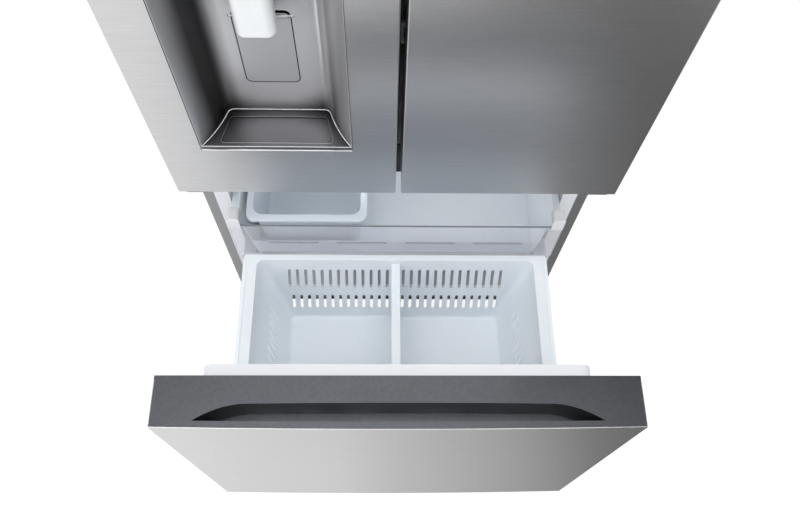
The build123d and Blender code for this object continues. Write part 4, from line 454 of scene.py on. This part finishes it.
# %% [markdown]
# ### Clear plastics, glass and dark gloss
# Bins and crispers are injection-moulded clear polystyrene, the shelves are toughened glass with its
# green tint, and the dispenser's panel is black acrylic.

# %% Clear mouldings and glass
CLEAR_SPOT = 30 * MM
RIPPLE, RIPPLE_DEEP = 40 * MM, 0.05 * MM


def clear_sheet(name, colour, ior, roughness):
    material, tree, shader = new_finish(name, colour, roughness, IOR=ior, Transmission_Weight=0.8)
    dulled(tree, shader, blotches(tree, CLEAR_SPOT), roughness, roughness + 0.05)
    relief(tree, shader, blotches(tree, RIPPLE), RIPPLE_DEEP, 0.4)
    return material


clear = clear_sheet("clear_polystyrene", "#f6fafc", 1.45, 0.02)
dress(clear, "left_crisper", "right_crisper", "left_door_bins", "right_door_bins")
dress(clear_sheet("toughened_glass", "#e3f2ec", 1.52, 0.0), "shelf_glass")


# %% Plain mouldings
COLOUR_CLOUD, SHEEN_SPOT = 30 * MM, 12 * MM


def moulded(name, first, second, roughness, grain=1.0 * MM, height=0.02 * MM):
    """An injection-moulded or rubber part with a fine spark-eroded grain."""
    material, tree, shader = new_finish(name, first, roughness)
    tinted(tree, shader, between(tree, blotches(tree, COLOUR_CLOUD), 0.0, 1.0), first, second)
    dulled(tree, shader, blotches(tree, SHEEN_SPOT), roughness - 0.06, roughness + 0.06)
    relief(tree, shader, blotches(tree, grain, detail=1.0), height)
    return material


dress(moulded("black_acrylic", "#0d0e10", "#121316", 0.12, height=0.002 * MM), "dispenser_panel")
dress(moulded("white_abs", "#e4e6e8", "#dee1e3", 0.35), "dispenser_nozzle")
dress(moulded("opal_diffuser", "#f6f7f4", "#f0f2ee", 0.45), "ceiling_lamp")
dress(moulded("black_polypropylene", "#17181a", "#1d1e20", 0.5), "centre_flap", "centre_crossbar",
      "condenser_fan", "fan_shroud", "drain_pan", "evaporator_fan")
dress(moulded("nylon", "#1c1c1e", "#242426", 0.45), "left_rear_roller", "right_rear_roller")
dress(moulded("polyurethane_foam", "#dccf9c", "#cbbb80", 0.9, 2 * MM, 0.6 * MM), "insulation_foam")


# %% [markdown]
# ### Bare and coated metals of the works
# Galvanised sheet shows the crystals of its zinc, rails and hinges are bright zinc, the compressor is
# black enamel and the cold side is bare aluminium.

# %% Galvanised sheet
SPANGLE, SPANGLE_DEEP = 9 * MM, 0.01 * MM


def galvanised():
    material, tree, shader = new_finish("galvanised_sheet", "#c2c5c8", 0.4, 0.75)
    place = add(tree, "ShaderNodeTexCoord").outputs["Object"]
    crystals = add(tree, "ShaderNodeTexVoronoi", {"Vector": place, "Scale": 1 / SPANGLE})
    shade = add(tree, "ShaderNodeSeparateColor", {0: crystals.outputs["Color"]}).outputs[0]
    tinted(tree, shader, shade, "#babdc0", "#cccfd1")
    dulled(tree, shader, shade, 0.34, 0.48)
    relief(tree, shader, shade, SPANGLE_DEEP)
    return material


galvanised_sheet = galvanised()
dress(galvanised_sheet, "rear_panel", "machine_cover", "base_frame")


# %% Zinc, enamel and aluminium
METAL_CLOUD, METAL_SPOT = 20 * MM, 8 * MM
METAL_GRAIN, METAL_GRAIN_DEEP = 1.0 * MM, 0.01 * MM


def sheet_metal(name, first, second, roughness, metallic):
    material, tree, shader = new_finish(name, first, roughness, metallic)
    tinted(tree, shader, between(tree, blotches(tree, METAL_CLOUD), 0.0, 1.0), first, second)
    dulled(tree, shader, blotches(tree, METAL_SPOT), roughness - 0.07, roughness + 0.07)
    relief(tree, shader, blotches(tree, METAL_GRAIN), METAL_GRAIN_DEEP)
    return material


zinc = sheet_metal("bright_zinc_plate", "#bcc1c6", "#adb3b9", 0.36, 1.0)
dress(zinc, "top_hinges", "centre_hinges", "outer_rails", "middle_rails", "inner_rails",
      "left_levelling_leg", "right_levelling_leg")
dress(sheet_metal("black_enamel", "#141516", "#1b1c1e", 0.35, 0.2), "compressor", "condenser_coil")
dress(sheet_metal("bare_aluminium", "#c8cacc", "#bdbfc2", 0.38, 1.0), "evaporator")

# %% Hazy window and cloudy end caps
HAZE, HAZE_DEEP, HAZE_SPOT = 30 * MM, 0.02 * MM, 40 * MM


def frosted(name, clearness):
    material, tree, shader = new_finish(name, "#fbfbff", 0.05, IOR=1.4, Transmission_Weight=clearness)
    dulled(tree, shader, blotches(tree, HAZE_SPOT), 0.03, 0.06)
    relief(tree, shader, blotches(tree, HAZE), HAZE_DEEP)
    return material


dress(frosted("hazy_polystyrene", 0.85), "upper_drawer_window")
dress(frosted("cloudy_polystyrene", 0.25), "upper_drawer_caps")

# %% [markdown]
# ## Geometry Nodes for trim that follows an edge
# Beads, seals and pressed ribs all follow a path. A tree turns loose edges into a curve, rounds its
# corners and sweeps a small rounded section along it. The paths are the outlines of the frame's own
# faces wherever there is one, so the trim sits exactly on its piece.

# %% A tree's inputs and its closing nodes
SMOOTH_ANGLE = math.radians(40)
WELD = 0.01 * MM
BEND_STEPS, EDGE_STEPS, CORNER_STEPS = 6, 2, 4


def new_tree(name, **sizes):
    """A geometry tree with named inputs: a number, a count, a direction or a material."""
    tree = bpy.data.node_groups.new(name, "GeometryNodeTree")
    tree.interface.new_socket("Geometry", in_out="OUTPUT", socket_type="NodeSocketGeometry")
    tree.interface.new_socket("Geometry", in_out="INPUT", socket_type="NodeSocketGeometry")
    for label, kind in sizes.items():
        tree.interface.new_socket(label, in_out="INPUT", socket_type="NodeSocket" + kind)
    return tree, add(tree, "NodeGroupInput").outputs


def close_tree(tree, shape, given):
    """Ends a tree in real geometry with its material."""
    real = add(tree, "GeometryNodeRealizeInstances", {0: shape})
    named = add(tree, "GeometryNodeSetMaterial", {"Geometry": real.outputs[0], "Material": given["Material"]})
    add(tree, "NodeGroupOutput", {0: named.outputs[0]})
    print("tree", tree.name, "has", len(tree.nodes), "nodes")
    return tree


def grown(name, points, edges, tree, body, **sizes):
    """Runs a tree on points and edges, keeps its result as a plain mesh and lets it ride on a body."""
    seed = bpy.data.meshes.new(name)
    seed.from_pydata(points, edges, [])
    piece = bpy.data.objects.new(name, seed)
    scene.collection.objects.link(piece)
    worker = piece.modifiers.new("tree", "NODES")
    worker.node_group = tree
    for socket in tree.interface.items_tree:
        if socket.in_out == "INPUT" and socket.name in sizes:
            worker[socket.identifier] = sizes[socket.name]
    view = bpy.context.evaluated_depsgraph_get()
    view.update()
    made = bpy.data.meshes.new_from_object(piece.evaluated_get(view), depsgraph=view)
    piece.modifiers.remove(worker)
    piece.data = made
    made.name = name
    made.shade_smooth()
    made.set_sharp_from_angle(angle=SMOOTH_ANGLE)
    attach(piece, body)
    print(name, "has", len(made.polygons), "faces")
    return piece


# %% The sweeping tree
def sweeping_tree():
    tree, given = new_tree("swept_section", Wide="Float", High="Float", Round="Float", Corner="Float",
                           Material="Material")
    path = add(tree, "GeometryNodeMeshToCurve", {"Mesh": given["Geometry"]})
    bends = {"Curve": path.outputs[0], "Count": BEND_STEPS, "Radius": given["Corner"], "Limit Radius": True}
    bent = add(tree, "GeometryNodeFilletCurve", bends, mode="POLY")
    sides = {"Width": given["Wide"], "Height": given["High"]}
    box = add(tree, "GeometryNodeCurvePrimitiveQuadrilateral", sides)
    edges = {"Curve": box.outputs[0], "Count": EDGE_STEPS, "Radius": given["Round"], "Limit Radius": True}
    section = add(tree, "GeometryNodeFilletCurve", edges, mode="POLY")
    both = {"Curve": bent.outputs[0], "Profile Curve": section.outputs[0], "Fill Caps": True}
    swept = add(tree, "GeometryNodeCurveToMesh", both)
    return close_tree(tree, swept.outputs[0], given)


sweep = sweeping_tree()


# %% [markdown]
# ## Geometry Nodes for what repeats
# Screws, hoods, slots and notches are one small shape set out many times. One tree cuts a cross into
# a tapered head and puts it on every point, facing one way. The other pulls a rounded plate into a
# prism and sets it out in rows and columns.

# %% The screw tree
HEAD_SIDES = 16
HEAD_TAPER = 0.72
CROSS_WIDE = 0.2


def screw_tree():
    tree, given = new_tree("cross_head_screws", Radius="Float", Height="Float", Facing="Vector",
                           Material="Material")
    cone = {"Vertices": HEAD_SIDES, "Radius Top": HEAD_TAPER, "Radius Bottom": 1.0, "Depth": 1.0}
    head = add(tree, "GeometryNodeMeshCone", cone)
    cross = ((1.0, CROSS_WIDE, 1.0), (CROSS_WIDE, 1.0, 1.0))
    cuts = [add(tree, "GeometryNodeMeshCube", {"Size": size}) for size in cross]
    raised = [add(tree, "GeometryNodeTransform", {"Geometry": cut.outputs[0], "Translation": (0, 0, 1.0)})
              for cut in cuts]
    first = add(tree, "GeometryNodeMeshBoolean", {0: head.outputs[0], 1: raised[0].outputs[0]},
                operation="DIFFERENCE")
    second = add(tree, "GeometryNodeMeshBoolean", {0: first.outputs[0], 1: raised[1].outputs[0]},
                 operation="DIFFERENCE")
    sized = add(tree, "ShaderNodeCombineXYZ", {0: given["Radius"], 1: given["Radius"], 2: given["Height"]})
    face = add(tree, "FunctionNodeAlignRotationToVector", {"Vector": given["Facing"]}, axis="Z")
    places = add(tree, "GeometryNodeMeshToPoints", {"Mesh": given["Geometry"]})
    heads = {"Points": places.outputs[0], "Instance": second.outputs[0], "Rotation": face.outputs[0],
             "Scale": sized.outputs[0]}
    set_out = add(tree, "GeometryNodeInstanceOnPoints", heads)
    return close_tree(tree, set_out.outputs[0], given)


screws = screw_tree()


# %% The rows tree
def rows_tree():
    tree, given = new_tree("rows_of_plates", Wide="Float", Tall="Float", Round="Float", Deep="Float",
                           Tilt="Rotation", Count="Int", Step="Vector", Rows="Int", Row_Step="Vector",
                           Material="Material")
    sides = {"Width": given["Wide"], "Height": given["Tall"]}
    box = add(tree, "GeometryNodeCurvePrimitiveQuadrilateral", sides)
    corners = {"Curve": box.outputs[0], "Count": CORNER_STEPS, "Radius": given["Round"],
               "Limit Radius": True}
    rounded = add(tree, "GeometryNodeFilletCurve", corners, mode="POLY")
    face = add(tree, "GeometryNodeFillCurve", {0: rounded.outputs[0]}, mode="NGONS")
    pull = {"Mesh": face.outputs[0], "Offset Scale": given["Deep"], "Individual": False}
    pulled = add(tree, "GeometryNodeExtrudeMesh", pull)
    under = add(tree, "GeometryNodeFlipFaces", {"Mesh": face.outputs[0]})
    both = add(tree, "GeometryNodeJoinGeometry", {0: pulled.outputs[0]})
    tree.links.new(under.outputs[0], both.inputs[0])
    closed = add(tree, "GeometryNodeMergeByDistance", {"Geometry": both.outputs[0], "Distance": WELD})
    stride = {"Count": given["Count"], "Offset": given["Step"]}
    line = add(tree, "GeometryNodeMeshLine", stride, mode="OFFSET")
    in_row = {"Points": line.outputs[0], "Instance": closed.outputs[0], "Rotation": given["Tilt"]}
    row = add(tree, "GeometryNodeInstanceOnPoints", in_row)
    climb = {"Count": given["Rows"], "Offset": given["Row_Step"]}
    lines = add(tree, "GeometryNodeMeshLine", climb, mode="OFFSET")
    stacked = {"Points": lines.outputs[0], "Instance": row.outputs[0]}
    block = add(tree, "GeometryNodeInstanceOnPoints", stacked)
    real = add(tree, "GeometryNodeRealizeInstances", {0: block.outputs[0]})
    places = add(tree, "GeometryNodeMeshToPoints", {"Mesh": given["Geometry"]})
    blocks = {"Points": places.outputs[0], "Instance": real.outputs[0]}
    set_out = add(tree, "GeometryNodeInstanceOnPoints", blocks)
    return close_tree(tree, set_out.outputs[0], given)


rows = rows_tree()


# %% Outlines of the frame's own faces
FLAT = 0.999
LEVEL_SLACK = 0.05 * MM
ROUNDNESS = 0.45


def at_level(axis, level):
    """A test that chooses flat faces at one level."""
    def chosen(face):
        near = all(abs(v.co[axis] - level) < LEVEL_SLACK for v in face.verts)
        return near and abs(face.normal[axis]) > FLAT
    return chosen


def outlines(node, chosen):
    """The closed outlines of a node's chosen faces, the longest first."""
    shape = bmesh.new()
    shape.from_mesh(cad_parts[node].data)
    bmesh.ops.remove_doubles(shape, verts=shape.verts, dist=WELD)
    linked = {}
    for edge in shape.edges:
        if sum(bool(chosen(face)) for face in edge.link_faces) == 1:
            a, b = (tuple(v.co) for v in edge.verts)
            linked.setdefault(a, []).append(b)
            linked.setdefault(b, []).append(a)
    shape.free()
    loops = []
    while linked:
        point = next(iter(linked))
        loop = []
        while point in linked:
            loop.append(point)
            onward = [p for p in linked.pop(point) if p in linked]
            point = onward[0] if onward else None
        loops.append(loop)
    loops.sort(key=lambda loop: -sum(math.dist(p, q) for p, q in zip(loop, loop[1:])))
    return loops


def bead(name, loops, body, material, wide, high=None, corner=0.0, closed=True):
    """A bead swept along loops: high lies in a loop's plane, and wide stands on it."""
    points, edges = [], []
    for loop in loops:
        first = len(points)
        points += [tuple(p) for p in loop]
        edges += [(first + k, first + (k + 1) % len(loop)) for k in range(len(loop) - (not closed))]
    high = high or wide
    return grown(name, points, edges, sweep, body, Wide=wide, High=high,
                 Round=ROUNDNESS * min(wide, high), Corner=corner, Material=material)


# %% [markdown]
# ## Trim of the dispenser
# A rounded bead runs round the drip tray, near-white as a painted highlight, and a finer silver one
# round its dish. The housing is a separate moulding pushed into the steel skin, and a thin black bead
# beside and above it is the painted shadow in that joint. Below, its sill ends in a near-white bead, a
# painted highlight on its edge.

# %% Beads of the tray
TRAY_BEAD, DISH_BEAD = 1.5 * MM, 0.8 * MM
# The near-white of the bright beads is painted highlight, and the black of the joints, guide and slots is
# painted shadow.
trim = moulded("painted_highlight_trim", "#f4f4f6", "#ececee", 0.2)
painted_shadow = moulded("black_painted_shadow", "#0b0b0c", "#101011", 0.6)
tray_loops = outlines("drip_tray", at_level(2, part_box("drip_tray")[1].z))
print("drip tray outlines:", [len(loop) for loop in tray_loops])
bead("tray_highlight_bead", tray_loops[:1], "drip_tray_body", trim, TRAY_BEAD)
bead("dish_bead", tray_loops[1:2], "drip_tray_body", silver, DISH_BEAD)

# %% The painted shadow in the joint round the housing, and the painted highlight on the sill's edge
JOINT_OUT, JOINT_WIDE = 0.6 * MM, 3.0 * MM
SILL_OUT, SILL_WIDE = 0.8 * MM, 1.8 * MM
door_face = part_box("left_door_skin")[0].y
opening = outlines("left_door_skin", at_level(1, door_face))[1]
low_x, high_x = min(p[0] for p in opening), max(p[0] for p in opening)
low_z, high_z = min(p[2] for p in opening), max(p[2] for p in opening)
sides = [(x, door_face, z) for x, z in ((low_x, low_z), (low_x, high_z), (high_x, high_z), (high_x, low_z))]
bead("housing_joint_shadow", [sides], "left_door", painted_shadow, JOINT_OUT, JOINT_WIDE, closed=False)
bead("sill_highlight", [[sides[0], sides[3]]], "left_door", trim, SILL_OUT, SILL_WIDE, closed=False)

# %% The painted shadow in the joint round the paddle
PADDLE_OUT, PADDLE_GAP = 0.5 * MM, 1.6 * MM
FACES_FRONT = -0.95
paddle_front = outlines("dispenser_paddle", lambda face: face.normal.y < FACES_FRONT)
print("paddle outlines:", [len(loop) for loop in paddle_front])
bead("paddle_joint_shadow", paddle_front[:1], "paddle", painted_shadow, PADDLE_OUT, PADDLE_GAP)

# %% [markdown]
# ## Door and drawer seals
# A magnetic seal is one long extrusion, mitred at its corners: a foot that clips into the liner, a
# narrow bellows that lets it stretch, and a flat pocket with the magnet. Each of the three runs
# round the same rectangle, so each is one sweep, and together they replace the plain solid.

# %% The three runs of each seal
seal_rubber = moulded("light_seal_rubber", "#c9ccd0", "#c4c7cb", 0.55)
SEAL_INSET, SEAL_CORNER = 8 * MM, 5 * MM
SEAL_RUNS = (("foot", 15 * MM, 2.4 * MM, 0.12), ("bellows", 7 * MM, 7 * MM, 0.5),
             ("magnet", 14.5 * MM, 3.6 * MM, 0.82))
for node, body in (("left_door_gasket", "left_door"), ("right_door_gasket", "right_door"),
                   ("drawer_gasket", "freezer_drawer")):
    low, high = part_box(node)
    x0, x1 = low.x + SEAL_INSET, high.x - SEAL_INSET
    z0, z1 = low.z + SEAL_INSET, high.z - SEAL_INSET
    for part, broad, deep, share in SEAL_RUNS:
        y = low.y + (high.y - low.y) * share
        loop = [(x0, y, z0), (x1, y, z0), (x1, y, z1), (x0, y, z1)]
        name = node.replace("gasket", "seal_") + part
        seal = bead(name, [loop], body, seal_rubber, deep, broad, corner=SEAL_CORNER)
        if part == "magnet":
            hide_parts(node)

# %% [markdown]
# ## Rear of the cabinet
# The rear panel is thin sheet, so long ribs are pressed into it to stop it drumming, and screws hold
# it round its edge. Each slot in the machine cover has a small hood that keeps dust out.

# %% Pressed ribs
rear_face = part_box("rear_panel")[1].y
RIB_X = (35 * MM, 395 * MM)
RIB_Z = ((350 * MM, 990 * MM), (1050 * MM, 1700 * MM))
RIB_OUT, RIB_WIDE, RIB_CORNER = 6 * MM, 14 * MM, 45 * MM
ribs = []
for side in (-1, 1):
    for z0, z1 in RIB_Z:
        x0, x1 = (side * x for x in RIB_X)
        ribs.append([(x, rear_face, z) for x, z in ((x0, z0), (x1, z0), (x1, z1), (x0, z1))])
bead("rear_ribs", ribs, "cabinet", galvanised_sheet, RIB_OUT, RIB_WIDE, corner=RIB_CORNER)

# %% Screws of the rear panel and the machine cover
SCREW_RADIUS, SCREW_HIGH = 4.5 * MM, 2.4 * MM
EDGE_X, MIDDLE_X = 441 * MM, 220 * MM
PANEL_LOW, PANEL_HIGH, SIDE_SCREWS = 320 * MM, 1740 * MM, 7
COVER_Z = (60 * MM, 275 * MM)
side_step = (PANEL_HIGH - PANEL_LOW) / (SIDE_SCREWS - 1)
side_z = [PANEL_LOW + n * side_step for n in range(SIDE_SCREWS)]
places = [(x, rear_face, z) for x in (-EDGE_X, EDGE_X) for z in side_z]
places += [(x, rear_face, z) for x in (-MIDDLE_X, 0, MIDDLE_X) for z in (PANEL_LOW, PANEL_HIGH)]
places += [(x, rear_face, z) for x in (-EDGE_X, 0, EDGE_X) for z in COVER_Z]
grown("rear_screws", places, [], screws, "cabinet", Radius=SCREW_RADIUS, Height=SCREW_HIGH,
      Facing=(0, 1, 0), Material=zinc)


# %% Louvre hoods
def plates(name, body, place, size, corner, material, tilt=(0, 0, 0), row=(1, 0), column=(1, 0)):
    """Rounded plates of one size: a width, a height and a depth. row and column are counts and steps."""
    wide, tall, deep = size
    grown(name, [place], [], rows, body, Wide=wide, Tall=tall, Round=corner, Deep=deep, Tilt=tilt,
          Count=row[0], Step=(row[1], 0, 0), Rows=column[0], Row_Step=(0, 0, column[1]), Material=material)


HOOD_SIZE, HOOD_CORNER = (104 * MM, 11 * MM, 0.8 * MM), 4 * MM
HOOD_TILT = (math.radians(105), 0, 0)
HOOD_LEFT, HOOD_OUT, HOOD_ABOVE = -310 * MM, 1.4 * MM, 2 * MM
LOUVRE_COLUMNS, LOUVRE_PITCH, LOUVRE_ROWS = 4, 120 * MM, 8
cover_low, cover_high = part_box("machine_cover")
row_step = (cover_high.z - cover_low.z) / (LOUVRE_ROWS + 1)
hood_place = (HOOD_LEFT, rear_face + HOOD_OUT, cover_low.z + row_step + HOOD_ABOVE)
plates("louvre_hoods", "cabinet", hood_place, HOOD_SIZE, HOOD_CORNER, galvanised_sheet, HOOD_TILT,
       (LOUVRE_COLUMNS, LOUVRE_PITCH), (LOUVRE_ROWS, row_step))

# %% [markdown]
# ## Small pieces in front and inside
# The centre hinges end in a flat nose under each door's outer corner, and a guide below the gap
# between the doors takes the foot of the centre flap; its black is also painted shade in that gap.
# The upper drawer has a grey strip on its window, and behind it four grey plates paint the shade in
# four shallow notches. Air reaches the fresh food through three covers on the back wall, their slots
# black plates of painted shade, and each crisper has a white grip band.

# %% The lower guide of the centre flap, black as painted shade in the gap
UPRIGHT = (math.radians(90), 0, 0)
GUIDE_SIZE, GUIDE_CORNER = (60 * MM, 24 * MM, 4 * MM), 4 * MM
GUIDE_X, GUIDE_Z = -2 * MM, 784 * MM
case_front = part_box("centre_crossbar")[0].y
guide_place = (GUIDE_X, case_front, GUIDE_Z)
plates("flap_guide", "cabinet", guide_place, GUIDE_SIZE, GUIDE_CORNER, painted_shadow, UPRIGHT)

# %% The window's grey strip
STRIP_TALL, STRIP_HIGH, STRIP_CORNER = 3.4 * MM, 1.6 * MM, 1 * MM
STRIP_INSET, STRIP_SUNK = 28 * MM, 1 * MM
window_low, window_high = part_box("upper_drawer_window")
strip_place = (0, (window_low.y + window_high.y) / 2, window_high.z - STRIP_SUNK)
strip_size = (window_high.x - window_low.x - 2 * STRIP_INSET, STRIP_TALL, STRIP_HIGH)
grey_strip = moulded("grey_strip", "#7c8288", "#757b81", 0.4)
plates("window_strip", "upper_drawer", strip_place, strip_size, STRIP_CORNER, grey_strip)

# %% Painted shade in the shallow notches in the top edge of the tray's low front wall
NOTCH_SIZE, NOTCH_CORNER = (122 * MM, 9 * MM, 0.8 * MM), 3 * MM
NOTCH_COUNT, NOTCH_PITCH = 4, 166.5 * MM
NOTCH_PLACE = (-250 * MM, -143.2 * MM, 506.8 * MM)
plates("tray_notch_shade", "upper_drawer", NOTCH_PLACE, NOTCH_SIZE, NOTCH_CORNER,
       moulded("notch_painted_shade", "#a3a9b8", "#a8aebc", 0.5), UPRIGHT, (NOTCH_COUNT, NOTCH_PITCH))

# %% Hinge noses
NOSE_SIZE, NOSE_CORNER = (64 * MM, 60 * MM, 3.5 * MM), 14 * MM
NOSE_X, NOSE_INSET, NOSE_Z = 418 * MM, 33 * MM, 768.5 * MM
for side, name in ((-1, "left_hinge_nose"), (1, "right_hinge_nose")):
    place = (side * NOSE_X, door_face + NOSE_INSET, NOSE_Z)
    plates(name, "cabinet", place, NOSE_SIZE, NOSE_CORNER, cap_paint)

# %% Air covers and their slots
AIR_SIZE, AIR_CORNER = (230 * MM, 150 * MM, 9 * MM), 18 * MM
SLOT_SIZE, SLOT_CORNER = (34 * MM, 6 * MM, 0.7 * MM), 3 * MM
SLOT_COUNT, SLOT_PITCH, SLOT_LEFT = 4, 50 * MM, -75 * MM
AIR_COUNT, AIR_STEP, AIR_Z = 3, 220 * MM, 1130 * MM
LINER_WALL, SLOT_SUNK = 2 * MM, 0.4 * MM
back_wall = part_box("fresh_food_liner")[1].y - LINER_WALL
plates("air_covers", "cabinet", (0, back_wall, AIR_Z), AIR_SIZE, AIR_CORNER, liner, UPRIGHT,
       column=(AIR_COUNT, AIR_STEP))
slot_place = (SLOT_LEFT, back_wall - AIR_SIZE[2] + SLOT_SUNK, AIR_Z)
# The slots are black plates, painted shade where the openings are.
plates("air_slots", "cabinet", slot_place, SLOT_SIZE, SLOT_CORNER, painted_shadow, UPRIGHT,
       (SLOT_COUNT, SLOT_PITCH), (AIR_COUNT, AIR_STEP))

# %% Crisper bands
BAND_TALL, BAND_DEEP, BAND_CORNER = 16 * MM, 4 * MM, 7 * MM
BAND_BELOW, BAND_IN, BAND_SHORTER = 22 * MM, 0.2 * MM, 30 * MM
for name in ("left", "right"):
    low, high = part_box(name + "_crisper")
    place = ((low.x + high.x) / 2, low.y + BAND_IN, high.z - BAND_BELOW)
    size = (high.x - low.x - BAND_SHORTER, BAND_TALL, BAND_DEEP)
    plates(name + "_crisper_band", name + "_crisper_body", place, size, BAND_CORNER, liner, UPRIGHT)
